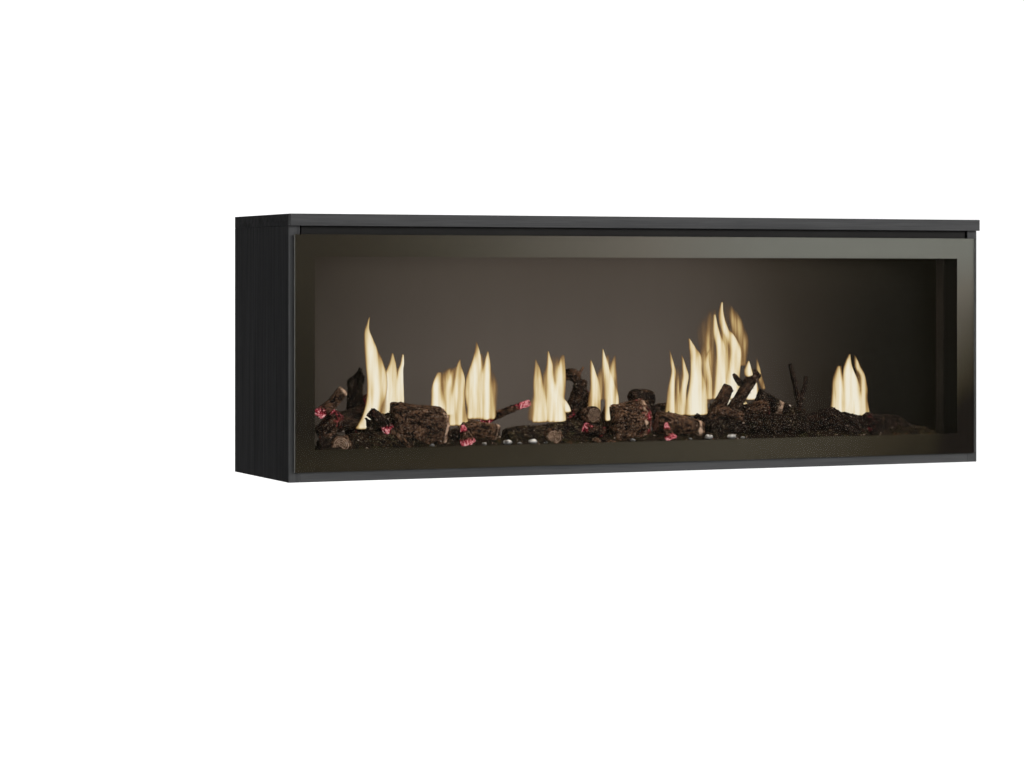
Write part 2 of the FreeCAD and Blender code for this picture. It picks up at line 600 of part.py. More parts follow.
def build_flame_mask():
    """A steel plate with seven leaning teardrops, whose light the turning blades throw on the screen."""
    sheet_metal = plate("mask_sheet", "XZ", "mask_y", "mask_y + gauge", rectangle(-560, DECK, 560, 0),
                        holes=[(400, -298, 6)])
    drops = []
    for number in range(7):
        middle = (number - 3) * 150
        lean = 14 if number % 2 else -18
        low = -285
        height = 150 + 40 * math.cos(number * 2.4)
        tip = Vector(middle + lean, 0, low + height)
        foot = Vector(middle, 0, low)
        sides = [Part.BezierCurve(), Part.BezierCurve()]
        for curve, width in zip(sides, (-44, 44)):
            curve.setPoles([foot, foot + Vector(width, 0, 20), foot + Vector(width * 0.9, 0, height * 0.5), tip])
        outline = Part.Wire([sides[0].toShape(), sides[1].toShape()])
        drops.append(Part.Face(outline).extrude(Vector(0, 10, 0)))
    cutter = doc.addObject("Part::Feature", "flame_openings")
    cutter.Shape = Part.makeCompound(drops)
    cutter.Placement = Placement(Vector(0, SIZE["mask_y"] - 5, 0), Rotation())
    keep(cut("flame_mask_plate", sheet_metal, [cutter]))


# ---------------------------------------------------------------- fan heater
def build_fan_heater():
    centre = ("fan_y", "fan_z")
    bore = rod("fan_bore", "x", "-housing_half - 5", "housing_half + 5", centre, "shaft_radius + running_gap")
    block = box("housing_block", ("-housing_half", "housing_half"), (-140, -64), (-42, CEILING))
    scroll = rod("housing_scroll", "x", "-housing_half + gauge", "housing_half - gauge", centre,
                 "fan_radius + 2")
    inner = ("-housing_half + gauge", "housing_half - gauge")
    outlet = box("housing_outlet", inner, (-145, -100), (8, 33))
    inlet = box("housing_inlet", inner, (-125, -75), (-45, -20))
    keep(cut("blower_housing", block, [fuse("housing_hollow", [scroll, outlet, inlet]), bore]))

    wheel = doc.addObject("PartDesign::Body", "blower_wheel")
    hub = pad(wheel, "YZ", "-fan_half", "-fan_half + 2", [], [(0, 0, "fan_radius")])
    doc.recompute()
    vane_outline = [("fan_radius - 8", -1), ("fan_radius - 1", 2.2), ("fan_radius - 1", 3.4),
                    ("fan_radius - 8", 0.2)]
    vane = pad(wheel, "YZ", "-fan_half + 1", "fan_half - 1", [vane_outline])
    pattern = wheel.newObject("PartDesign::PolarPattern", "vanes")
    pattern.Originals = [vane]
    pattern.Axis = (origin_feature(wheel, "X_Axis"), [""])
    pattern.Angle = 360
    pattern.setExpression("Occurrences", formula("vane_count"))
    wheel.Tip = pattern
    pad(wheel, "YZ", "fan_half - 2", "fan_half", [], [(0, 0, "fan_radius")])
    shaft = pad(wheel, "YZ", "-housing_half - 6", "housing_half + 20", [], [(0, 0, "shaft_radius")])
    wheel.Tip = shaft
    for letter, place in zip("yz", centre):
        wheel.setExpression(f"Placement.Base.{letter}", formula(place))
    doc.recompute()
    if wheel.Shape.Volume <= hub.Shape.Volume:
        raise RuntimeError("the fan wheel has no vanes")
    keep(wheel)

    can = rod("fan_motor_can", "x", "housing_half", "housing_half + 40", centre, 26)
    well = rod("fan_motor_well", "x", "housing_half - 1", "housing_half + 22", centre,
               "shaft_radius + running_gap")
    keep(cut("blower_motor", can, [well]))

    wall = "(housing_half + gauge)"
    keep(plate("heater_duct", "XZ", "casing_front + 0.5", -140,
               [(f"-{wall}", "duct_floor"), (wall, "duct_floor"), (wall, CEILING), ("housing_half", CEILING),
                ("housing_half", "duct_floor + gauge"), ("-housing_half", "duct_floor + gauge"),
                ("-housing_half", CEILING), (f"-{wall}", CEILING)]))
    y = (-168, -152)
    heater = [box(f"heater_end{sign + 1}", mirrored(sign, 215, 225), y, (6, 35)) for sign in (-1, 1)]
    heater += [box(f"heater_bar{row}", (-215, 215), y, (height, height + 2))
               for row, height in enumerate((7, 32))]
    heater += [box(f"heater_fin{number}", (across - 0.4, across + 0.4), y, (9, 32))
               for number, across in enumerate(range(-210, 211, 10))]
    keep(group("heater_element", heater))
    keep(rod("thermal_cutout", "x", wall, f"{wall} + 7", (-185, 20), 8))


# ---------------------------------------------------------------- electrics and controls
def cable(name, points, radius, bend):
    """A cable along straight runs joined by arcs that touch them."""
    places = [Vector(*point) for point in points]
    edges = []
    start = places[0]
    for before, corner, after in zip(places, places[1:], places[2:]):
        inward = (before - corner).normalize()
        outward = (after - corner).normalize()
        half_turn = (math.pi - inward.getAngle(outward)) / 2
        setback = bend * math.tan(half_turn)
        middle = (inward + outward).normalize() * (bend / math.cos(half_turn) - bend)
        arc_start = corner + inward * setback
        arc_end = corner + outward * setback
        edges.append(Part.LineSegment(start, arc_start).toShape())
        edges.append(Part.Arc(arc_start, corner + middle, arc_end).toShape())
        start = arc_end
    edges.append(Part.LineSegment(start, places[-1]).toShape())
    spine = Part.Wire(edges)
    section = Part.Wire([Part.makeCircle(radius, places[0], places[1] - places[0])])
    run = doc.addObject("Part::Feature", name)
    run.Shape = spine.makePipeShell([section], True, False)
    run.Placement = Placement()
    expected = math.pi * radius ** 2 * spine.Length
    if abs(run.Shape.Volume - expected) > 0.02 * expected:
        raise RuntimeError(f"{name}: the cable's volume is wrong")
    return run


def build_power_board():
    under = -312
    face = f"({under} + board_gauge)"
    pieces = [box("mains_board", (300, 470), (-106, -66), (under, face))]
    pieces += [rod(f"stand_off{column}{row}", "z", DECK, under, (column, row), 3)
               for column in (308, 462) for row in (-100, -72)]
    pieces.append(box("transformer", (310, 350), (-102, -72), (face, f"{face} + 22")))
    pieces.append(box("relay", (358, 378), (-98, -82), (face, f"{face} + 16")))
    pieces.append(box("terminal_block", (420, 460), (-84, -70), (face, f"{face} + 12")))
    pieces += [rod(f"capacitor{number}", "z", face, f"{face} + 18", (386 + 14 * number, -90), 5)
               for number in range(2)]
    keep(group("power_board", pieces))

    centre = ("gland_x", "gland_z")
    sleeve = rod("gland_sleeve", "y", "casing_rear - 8", "casing_rear + 14", centre, "gland_radius")
    collar = rod("gland_collar", "y", "casing_rear", "casing_rear + 6", centre, "gland_radius + 3")
    nut = rod("gland_nut", "y", "casing_rear - 6", COVER_FRONT, centre, "gland_radius + 3")
    bore = rod("gland_bore", "y", "casing_rear - 20", "casing_rear + 30", centre, "cord_radius")
    keep(cut("cord_gland", fuse("gland_body", [sleeve, collar, nut]), [bore]))

    keep(group("wiring_harness", [
        cable("mains_lead", [(500, -69, -285), (500, -88, -285), (484, -92, -300), (450, -92, -306)], 2.5, 6),
        cable("fan_lead", [(330, -87, -288), (330, -87, -150), (300, -92, -60), (262, -96, -35)], 2.5, 30),
        cable("control_lead", [(400, -106, -307), (400, -114, -298), (400, -176, -298), (412, -196, -312),
                               (436, -204, -320)], 2, 5)]))


BUTTONS = {"flame": 434, "heat": 470}


def build_controls():
    face = "(panel_face + panel_gauge)"
    fit = 0.3
    x = (f"panel_left + {fit}", f"panel_right - {fit}")
    y = (f"panel_front + {fit}", f"panel_rear - {fit}")
    tub = box("tub_outside", x, y, ("panel_face", f"{DECK} + 2"))
    rim = box("tub_rim", ("panel_left - 6", "panel_right + 6"), ("panel_front - 6", "panel_rear + 6"),
              (DECK, f"{DECK} + 2"))
    hollow = box("tub_hollow", ("panel_left + 2.3", "panel_right - 2.3"),
                 ("panel_front + 2.3", "panel_rear - 2.3"), (face, f"{DECK} + 5"))
    shell = cut("tub_shell", fuse("tub_blank", [tub, rim]), [hollow])
    cheeks = [box(f"cheek{sign + 1}", ("rocker_x - 4", "rocker_x + 4"),
                  mirrored_about("control_y", sign, 7, 9), ("panel_face + 2", "rocker_z + 4"))
              for sign in (-1, 1)]
    posts = [rod(f"post{column}{row}", "z", "panel_face + 2", "board_under", (column, f"control_y + {row}"), 2.5)
             for column in (421, 492) for row in (-17, 17)]
    blank = fuse("panel_blank", [shell, *cheeks, *posts])
    openings = [box("rocker_hole", ("rocker_x - 9.9", "rocker_x + 9.9"), ("control_y - 6.8", "control_y + 6.8"),
                    ("panel_face - 2", f"{face} + 0.01")),
                rod("rocker_pin_hole", "y", "control_y - 12", "control_y + 12", ("rocker_x", "rocker_z"),
                    "1.5 + running_gap")]
    openings += [rod(f"button_hole{number}", "z", "panel_face - 2", f"{face} + 0.01", (across, "control_y"),
                     "button_radius + 0.3") for number, across in enumerate(BUTTONS.values())]
    keep(cut("control_panel", blank, openings))

    board_top = "(board_under + board_gauge)"
    board_y = ("control_y - 20", "control_y + 20")
    pieces = [box("button_board", (418, 495), board_y, ("board_under", board_top))]
    pieces += [box(f"switch{number}", (across - 3, across + 3), ("control_y - 3", "control_y + 3"),
                   ("board_under - 3.5", "board_under")) for number, across in enumerate(BUTTONS.values())]
    keep(group("control_board", pieces))

    rocker = doc.addObject("PartDesign::Body", "power_rocker")
    pad(rocker, "XZ", -6.5, 6.5, [[(-9, 2), (-9, -4.5), (0, -3), (9, -4.5), (9, 2)]])
    pad(rocker, "XZ", -8.8, 8.8, [], [(0, 0, 1.5)])
    rocker.Placement = Placement(Vector(SIZE["rocker_x"], SIZE["control_y"], SIZE["rocker_z"]),
                                 Rotation(Vector(0, 1, 0), -SIZE["rocker_tilt"]))
    keep(rocker)

    for label, across in BUTTONS.items():
        centre = (across, "control_y")
        keep(fuse(f"{label}_button", [
            rod(f"{label}_cap", "z", "panel_face - 1", face, centre, "button_radius"),
            rod(f"{label}_collar", "z", face, f"{face} + 2", centre, "button_radius + 1.5"),
            rod(f"{label}_stem", "z", f"{face} + 2", "board_under - 5", centre, 3)]))
        coil = rod(f"{label}_coil", "z", f"{face} + 2", "board_under", centre, 5.2)
        inside = rod(f"{label}_coil_inside", "z", face, "board_under + 2", centre, 4.4)
        keep(cut(f"{label}_spring", coil, [inside]))


build_cabinet()
build_wall_rails()
build_glass_front()
build_casing()
build_firebox()
build_flame_effect()
build_fan_heater()
build_power_board()
build_controls()
doc.recompute()

for item in doc.Objects:
    if "Invalid" in item.State or "Error" in item.State:
        raise RuntimeError(f"{item.Label} failed: {item.State}")
os.makedirs("parts", exist_ok=True)
for piece in nodes:
    if piece.Shape.isNull() or not piece.Shape.isValid() or not piece.Shape.Solids:
        raise RuntimeError(f"{piece.Label} has no valid solid")
    piece.Shape.exportStep(f"parts/{piece.Label}.step")
print(len(nodes), "sub-parts written")
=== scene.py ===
"""Looks of the wall-hung electric fireplace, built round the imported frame. Metres, +Z up, front faces -Y."""
import math

import bpy
import numpy as np
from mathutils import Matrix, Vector, noise


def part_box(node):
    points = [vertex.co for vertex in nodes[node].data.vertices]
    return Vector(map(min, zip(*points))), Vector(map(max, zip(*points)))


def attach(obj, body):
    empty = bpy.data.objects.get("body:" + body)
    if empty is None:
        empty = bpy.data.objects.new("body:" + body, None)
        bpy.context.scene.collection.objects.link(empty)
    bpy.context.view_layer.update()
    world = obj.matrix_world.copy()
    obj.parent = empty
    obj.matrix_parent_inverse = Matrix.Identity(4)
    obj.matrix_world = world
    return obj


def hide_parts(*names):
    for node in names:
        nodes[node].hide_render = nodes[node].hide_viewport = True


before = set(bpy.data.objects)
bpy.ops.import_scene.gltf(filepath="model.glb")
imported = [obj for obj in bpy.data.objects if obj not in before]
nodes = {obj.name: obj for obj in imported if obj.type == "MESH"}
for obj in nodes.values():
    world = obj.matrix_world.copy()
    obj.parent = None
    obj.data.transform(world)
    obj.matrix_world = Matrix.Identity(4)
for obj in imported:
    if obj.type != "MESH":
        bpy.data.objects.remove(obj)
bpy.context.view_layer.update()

MM = 0.001
CABINET = "cabinet"
BASE_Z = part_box("bottom_panel")[0].z
FRONT_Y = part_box("left_side_panel")[0].y
BED_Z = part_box("ember_bed")[1].z
# Depth up to which the board fronts are painted paler: a painted highlight for the front light.
LIT_EDGE_Y = FRONT_Y + 0.8 * MM
GLASS_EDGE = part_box("front_glass")[1].x


def place(x, depth, height):
    """A point of the firebox from mm: x from the middle, depth from the front, height from the underside."""
    return Vector((x * MM, FRONT_Y + depth * MM, BASE_Z + height * MM))


# ---------------------------------------------------------------- shader building
class Wire:
    """A socket of a material. Arithmetic on it adds Math nodes."""

    def __init__(self, paint, socket):
        self.paint = paint
        self.socket = socket

    def maths(self, operation, *values, clamp=False):
        return self.paint.node("ShaderNodeMath", {"operation": operation, "use_clamp": clamp},
                               dict(enumerate(values)))

    def __add__(self, other):
        return self.maths("ADD", self, other)

    def __sub__(self, other):
        return self.maths("SUBTRACT", self, other)

    def __mul__(self, other):
        return self.maths("MULTIPLY", self, other)

    def __rsub__(self, other):
        return self.maths("SUBTRACT", other, self)

    __radd__ = __add__
    __rmul__ = __mul__

    def size(self):
        return self.maths("ABSOLUTE", self)

    def steps(self, low, high):
        """0 below low, 1 above high, smooth between; low may be the larger one."""
        return self.paint.node("ShaderNodeMapRange", {"interpolation_type": "SMOOTHSTEP"},
                               {"Value": self, "From Min": low, "From Max": high})


class Paint:
    """A material with one Principled shader, and the nodes that feed it."""

    def __init__(self, name, **surface):
        self.material = bpy.data.materials.new(name)
        self.material.use_nodes = True
        self.tree = self.material.node_tree
        self.shader = next(node for node in self.tree.nodes if node.type == "BSDF_PRINCIPLED")
        self.set(**surface)

    def set(self, **surface):
        """Sets the shader's sockets by name, with spaces written as underscores."""
        for label, value in surface.items():
            self.feed(self.shader.inputs[label.replace("_", " ")], value)

    def feed(self, socket, value):
        if isinstance(value, Wire):
            self.tree.links.new(value.socket, socket)
        elif isinstance(value, tuple) and socket.type == "RGBA" and len(value) == 3:
            socket.default_value = (*value, 1.0)
        else:
            socket.default_value = value

    def node(self, kind, settings=None, values=None, output=0):
        """Adds any node: settings first, then the values or links of its sockets."""
        node = self.tree.nodes.new(kind)
        for label, value in (settings or {}).items():
            if label == "stops":
                ramp = node.color_ramp
                while len(ramp.elements) < len(value):
                    ramp.elements.new(0.5)
                for element, (position, colour) in zip(ramp.elements, value):
                    element.position = position
                    element.color = (*colour, 1.0)
            else:
                setattr(node, label, value)
        for label, value in (values or {}).items():
            self.feed(node.inputs[label], value)
        return Wire(self, node.outputs[output])

    def spot(self, scale=(1, 1, 1), turn=(0, 0, 0), source="Object"):
        """The point on the surface, in the object's own metres, stretched for a pattern."""
        point = self.node("ShaderNodeTexCoord", output=source)
        return self.node("ShaderNodeMapping", None, {"Vector": point, "Scale": scale, "Rotation": turn})

    def along(self, axis):
        """One coordinate of the point on the surface, in metres."""
        point = self.node("ShaderNodeTexCoord", output="Object")
        return self.node("ShaderNodeSeparateXYZ", None, {"Vector": point}, output=axis)

    def noise(self, spot, scale, detail=3.0, roughness=0.55):
        return self.node("ShaderNodeTexNoise", None,
                         {"Vector": spot, "Scale": scale, "Detail": detail, "Roughness": roughness})

    def cells(self, spot, scale, feature="F1"):
        return self.node("ShaderNodeTexVoronoi", {"feature": feature}, {"Vector": spot, "Scale": scale})

    def attribute(self, name):
        return self.node("ShaderNodeAttribute", {"attribute_name": name}, output="Fac")

    def blend(self, amount, first, second):
        """A colour between two colours."""
        return self.node("ShaderNodeMix", {"data_type": "RGBA"}, {0: amount, 6: first, 7: second}, output=2)

    def ramp(self, value, stops):
        return self.node("ShaderNodeValToRGB", {"stops": stops}, {"Fac": value})

    def bump(self, height, distance, strength=1.0):
        self.set(Normal=self.node("ShaderNodeBump", None,
                                  {"Height": height, "Distance": distance, "Strength": strength}))


def black_ash(name, stretch):
    """Black melamine with a fine straight grain; its front edge band is painted paler, a painted highlight
    standing in for the light from the front; stretch is small along the grain.
    """
    paint = Paint(name, Specular_IOR_Level=0.006)
    pores = paint.noise(paint.spot(stretch), 1.0, 5.0, 0.7)
    bands = paint.noise(paint.spot(tuple(s * 0.16 for s in stretch)), 1.0, 2.0)
    grain = (pores * 0.65 + bands * 0.5).steps(0.38, 0.78)
    face = paint.blend(grain, (0.0045, 0.0046, 0.0048), (0.0145, 0.0146, 0.0154))
    # Painted highlight: the front edge band is several times paler than the faces, standing in for the light
    # from the front.
    lit_edging = paint.blend(grain, (0.031, 0.0312, 0.0316), (0.050, 0.050, 0.0505))
    front = paint.along("Y").steps(LIT_EDGE_Y, LIT_EDGE_Y - 0.0004)
    paint.set(Base_Color=paint.blend(front, face, lit_edging))
    paint.set(Roughness=0.66 - grain * 0.14)
    paint.bump(pores, 0.00018, 0.6)
    return paint.material


def steel(name, colour, roughness, metallic=1.0, grain=(900, 900, 60)):
    """Bare, plated or foil metal with fine drawn lines and cloudy patches."""
    paint = Paint(name, Metallic=metallic)
    lines = paint.noise(paint.spot(grain), 1.0, 2.0)
    clouds = paint.noise(paint.spot(), 55.0, 3.0)
    dull = tuple(c * 0.72 for c in colour)
    paint.set(Base_Color=paint.blend(clouds.steps(0.3, 0.7), dull, colour))
    paint.set(Roughness=roughness + lines * 0.12 + clouds * 0.08)
    paint.bump(lines, 0.00006, 0.5)
    return paint.material


def moulded(name, colour, roughness=0.5, spark=0.35, texture=2600.0):
    """Moulded or powder-coated surface with a fine pebble texture."""
    paint = Paint(name, Specular_IOR_Level=spark)
    pebble = paint.noise(paint.spot(), texture, 2.0)
    shade = paint.noise(paint.spot(), 18.0, 3.0)
    darker = tuple(c * 0.78 for c in colour)
    paint.set(Base_Color=paint.blend(shade.steps(0.3, 0.7), darker, colour))
    paint.set(Roughness=roughness + pebble * 0.12)
    paint.bump(pebble, 0.00012, 0.5)
    return paint.material


def timber(name, dark, light, stretch, roughness=0.7):
    """Raw wood or fibre board."""
    paint = Paint(name, Specular_IOR_Level=0.2)
    fibres = paint.noise(paint.spot(stretch), 1.0, 4.0, 0.65)
    paint.set(Base_Color=paint.blend(fibres.steps(0.3, 0.72), dark, light), Roughness=roughness)
    paint.bump(fibres, 0.0002, 0.5)
    return paint.material


def smoked_glass():
    paint = Paint("smoked_glass", IOR=1.5, Roughness=0.02, Specular_IOR_Level=0.08)
    smudge = paint.noise(paint.spot(), 9.0, 3.0)
    edge = paint.along("X").size().steps(GLASS_EDGE - 0.0006, GLASS_EDGE - 0.0001)
    tint = paint.blend(smudge, (0.007, 0.006, 0.004), (0.011, 0.010, 0.007))
    paint.set(Base_Color=paint.blend(edge, tint, (0.16, 0.16, 0.15)))
    paint.set(Alpha=0.15 + smudge.steps(0.45, 0.8) * 0.012 + edge * 0.6)
    return paint.material


def bronze_border():
    """Semi-mirror print with a painted reflection laid into its colour: darker at the left and foot, paler
    along the top and right, with painted shade down the right end and at the right foot and a painted glow
    along the foot.
    """
    paint = Paint("border_print", Roughness=0.42, Specular_IOR_Level=0.05)
    across = paint.along("X")
    upward = paint.along("Z")
    right = across.steps(-0.62, 0.30)
    high = upward.steps(-0.34, 0.02)
    cloud = paint.noise(paint.spot(), 6.0, 3.0)
    right_end = across.steps(0.50, 0.60) * upward.steps(0.02, -0.12) * 0.34
    right_foot_painted_shade = across.steps(0.30, 0.55) * upward.steps(-0.20, -0.30) * 0.13
    foot_painted_glow = across.steps(0.45, 0.10) * upward.steps(-0.25, -0.32) * 0.095
    # Painted reflection: this whole gradient of light and shade stands in for the studio mirrored in the
    # print.
    light = (right * 0.86 + 0.12) * (high * 0.80 + 0.20) + (cloud - 0.5) * 0.04
    light = light - right_end - right_foot_painted_shade + foot_painted_glow
    paint.set(Base_Color=paint.ramp(light, [(0.0, (0.003, 0.001, 0.0)), (0.08, (0.012, 0.0088, 0.0032)),
                                            (0.16, (0.025, 0.019, 0.0095)), (0.30, (0.047, 0.040, 0.0262)),
                                            (0.75, (0.124, 0.112, 0.090)), (1.0, (0.157, 0.160, 0.138))]))
    return paint.material


def screen_with_painted_glow():
    """Smoke-grey screen with a painted glow standing in for the flame lamps behind it: warm behind its middle,
    fading to the right and dimmer at the left end, with painted shade towards the top and a little towards the
    foot.
    """
    paint = Paint("screen_acrylic", Roughness=0.6, Specular_IOR_Level=0.03, Emission_Strength=1.0)
    across = paint.along("X")
    upward = paint.along("Z")
    left_wing = across.steps(-0.78, -0.20)
    right_wing = across.steps(0.50, 0.02)
    height = upward.steps(-0.42, -0.22) * 0.30 + 0.70
    top_shade = upward.steps(0.06, -0.20) * 0.34 + 0.66
    grain = paint.noise(paint.spot((40, 1, 6)), 1.0, 3.0)
    # Painted glow and painted shade: the light on the screen is its own emission, shaded off towards the top
    # and the foot.
    glow = (left_wing * 0.75 + 0.25) * right_wing * height * top_shade * (0.95 + grain * 0.1)
    paint.set(Base_Color=(0.003, 0.0026, 0.0018))
    paint.set(Emission_Color=paint.ramp(glow, [(0.0, (0.001, 0.0007, 0.0)), (0.35, (0.028, 0.0215, 0.0155)),
                                               (1.0, (0.112, 0.091, 0.075))]))
    return paint.material


def lamp_strip(name, colour, glow):
    paint = Paint(name, Roughness=0.5, Emission_Strength=1.0)
    across = paint.along("X")
    spacing = 0.04
    beat = paint.node("ShaderNodeMath", {"operation": "PINGPONG"}, {0: across, 1: spacing / 2})
    lamp = beat.steps(0.004, 0.002)
    paint.set(Base_Color=paint.blend(lamp, (0.62, 0.62, 0.58), colour))
    paint.set(Emission_Color=paint.blend(lamp, (0.0, 0.0, 0.0), glow))
    return paint.material


def circuit(name):
    paint = Paint(name, Roughness=0.42)
    tracks = paint.cells(paint.spot(), 140.0)
    paint.set(Base_Color=paint.blend(tracks.steps(0.35, 0.5), (0.01, 0.09, 0.035), (0.03, 0.17, 0.07)))
    paint.bump(tracks, 0.0001, 0.4)
    return paint.material


# ---------------------------------------------------------------- finishes of the carried-over parts
UPRIGHT = (700, 1100, 14)
LENGTHWISE = (14, 1100, 700)
finish = {
    "upright_ash": black_ash("black_ash_upright", UPRIGHT),
    "level_ash": black_ash("black_ash_lengthwise", LENGTHWISE),
    "hardboard": timber("hardboard", (0.10, 0.062, 0.035), (0.19, 0.125, 0.075), (260, 260, 240)),
    "beech": timber("beech", (0.45, 0.30, 0.17), (0.66, 0.48, 0.30), (60, 60, 500)),
    "zinc": steel("zinc_plate", (0.62, 0.64, 0.66), 0.26),
    "steel": steel("plain_steel", (0.55, 0.55, 0.56), 0.3),
    "foil": steel("mirror_foil", (0.86, 0.86, 0.88), 0.08),
    "bronze": steel("sintered_bronze", (0.60, 0.40, 0.18), 0.4),
    "fins": steel("heater_fins", (0.70, 0.71, 0.72), 0.32),
    "black_steel": moulded("black_powder_coat", (0.014, 0.014, 0.015), 0.55, 0.3, 1800.0),
    "frame_steel": moulded("front_frame_coat", (0.009, 0.0085, 0.008), 0.6, 0.08, 1800.0),
    "liner": moulded("dark_liner", (0.004, 0.0035, 0.002), 0.5, 0.06, 700.0),
    "channel": moulded("channel_moulding", (0.030, 0.025, 0.020), 0.5, 0.1, 700.0),
    "rubber": moulded("black_rubber", (0.022, 0.022, 0.022), 0.75, 0.2, 1400.0),
    "dark_plastic": moulded("textured_plastic", (0.025, 0.025, 0.026), 0.45, 0.4),
    "grey_plastic": moulded("grey_moulding", (0.22, 0.22, 0.23), 0.5, 0.4),
    "cable": moulded("cable_sheath", (0.03, 0.03, 0.03), 0.45, 0.4, 900.0),
    "tray": moulded("amber_tray", (0.02, 0.010, 0.005), 0.4, 0.2, 500.0),
    "border": bronze_border(),
    "screen": screen_with_painted_glow(),
    "lamps": lamp_strip("lamp_strip", (1.0, 0.75, 0.40), (1.0, 0.62, 0.25)),
    "circuit": circuit("circuit_board"),
}
WEARS = {
    "upright_ash": ["left_side_panel", "right_side_panel"],
    "level_ash": ["top_panel", "bottom_panel"],
    "hardboard": ["back_panel"],
    "beech": ["panel_dowels"],
    "zinc": ["cam_fittings", "wall_rail", "cabinet_rail", "rail_brackets", "bracket_screws", "casing_screws",
             "catch_magnets", "rotor_brackets", "flame_motor", "blower_housing", "blower_motor"],
    "steel": ["glass_strips", "locating_pins", "flame_shaft", "flame_spring", "heat_spring"],
    "foil": ["flame_blades"],
    "bronze": ["rotor_bushes"],
    "fins": ["heater_element"],
    "black_steel": ["casing_floor", "casing_roof", "casing_left_end", "casing_right_end",
                    "casing_rear_cover", "flame_mask_plate", "heater_duct"],
    "frame_steel": ["casing_front_frame"],
    "liner": ["inner_side_liners", "canopy"],
    "channel": ["screen_channels"],
    "rubber": ["wall_bumpers", "pin_bushes", "glass_buffers"],
    "dark_plastic": ["cord_gland", "control_panel", "power_rocker", "flame_button", "heat_button",
                     "thermal_cutout"],
    "grey_plastic": ["blower_wheel"],
    "cable": ["wiring_harness"],
    "tray": ["ember_tray"],
    "border": ["glass_border"],
    "screen": ["flame_screen"],
    "lamps": ["flame_light_strip", "ember_light_strip"],
    "circuit": ["power_board", "control_board"],
}
for look, names in WEARS.items():
    for name in names:
        node = nodes[name]
        node.data.materials.clear()
        node.data.materials.append(finish[look])


# ---------------------------------------------------------------- mesh building
class Mould:
    """Gathers vertices, faces and per-vertex values, and makes one object of them."""

    def __init__(self, values=()):
        self.points = []
        self.faces = []
        self.values = {name: [] for name in values}

    def point(self, place, **values):
        self.points.append(place)
        for name, stored in self.values.items():
            stored.append(values.get(name, 0.0))
        return len(self.points) - 1

    def ring_skin(self, rings, closed=True):
        """Faces between neighbouring rows of point numbers."""
        for lower, upper in zip(rings, rings[1:]):
            count = len(lower)
            for step in range(count if closed else count - 1):
                after = (step + 1) % count
                self.faces.append((lower[step], lower[after], upper[after], upper[step]))

    def build(self, name, material, smooth=True):
        mesh = bpy.data.meshes.new(name)
        mesh.from_pydata(self.points, [], self.faces)
        for label, numbers in self.values.items():
            layer = mesh.attributes.new(label, "FLOAT", "POINT")
            layer.data.foreach_set("value", numbers)
        mesh.materials.append(material)
        if smooth:
            mesh.shade_smooth()
        piece = bpy.data.objects.new(name, mesh)
        bpy.context.scene.collection.objects.link(piece)
        return piece


def show(piece, body, slot, *replaced):
    """Puts a finished piece on its body and hides the parts it stands in for; slot is not used."""
    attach(piece, body)
    if replaced:
        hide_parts(*replaced)
    return piece


def curve_through(points, amount):
    """A point on a smooth curve through evenly spaced points, for an amount from 0 to 1."""
    spans = len(points) - 1
    position = min(amount * spans, spans - 1e-6)
    span = int(position)
    t = position - span
    before = points[max(span - 1, 0)]
    start, end = points[span], points[span + 1]
    after = points[min(span + 2, spans)]
    return [0.5 * (2 * b + (c - a) * t + (2 * a - 5 * b + 4 * c - d) * t ** 2
                   + (3 * b - a - 3 * c + d) * t ** 3)
            for a, b, c, d in zip(before, start, end, after)]


# ---------------------------------------------------------------- glass pane
def rounded_outline(low, high, radius, inset, corner_steps=5):
    """Points of a rounded rectangle in X and Z, drawn in by inset, anticlockwise seen from the front."""
    points = []
    for turn, (x, z) in enumerate(((high.x, high.z), (low.x, high.z), (low.x, low.z), (high.x, low.z))):
        centre_x = x - math.copysign(radius, x - (low.x + high.x) / 2)
        centre_z = z - math.copysign(radius, z - (low.z + high.z) / 2)
        for step in range(corner_steps + 1):
            angle = math.pi / 2 * (turn + step / corner_steps)
            points.append((centre_x + (radius - inset) * math.cos(angle),
                           centre_z + (radius - inset) * math.sin(angle)))
    return points


def build_pane(material):
    """The smoked pane with its ground and polished edge; a hair of air keeps it off the print behind."""
    low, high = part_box("front_glass")
    arris, radius, air = 0.7 * MM, 2.0 * MM, 0.08 * MM
    back = high.y - air
    profile = [(low.y, arris), (low.y + arris * 0.3, arris * 0.3), (low.y + arris, 0.0),
               (back - arris, 0.0), (back - arris * 0.3, arris * 0.3), (back, arris)]
    mould = Mould()
    rings = []
    for y, inset in profile:
        rings.append([mould.point(Vector((x, y, z))) for x, z in rounded_outline(low, high, radius, inset)])
    mould.ring_skin(rings[::-1])
    mould.faces.append(tuple(rings[0]))
    mould.faces.append(tuple(reversed(rings[-1])))
    return mould.build("glass_pane", material, smooth=False)


show(build_pane(smoked_glass()), "glass_front", "smoked_glass", "front_glass")
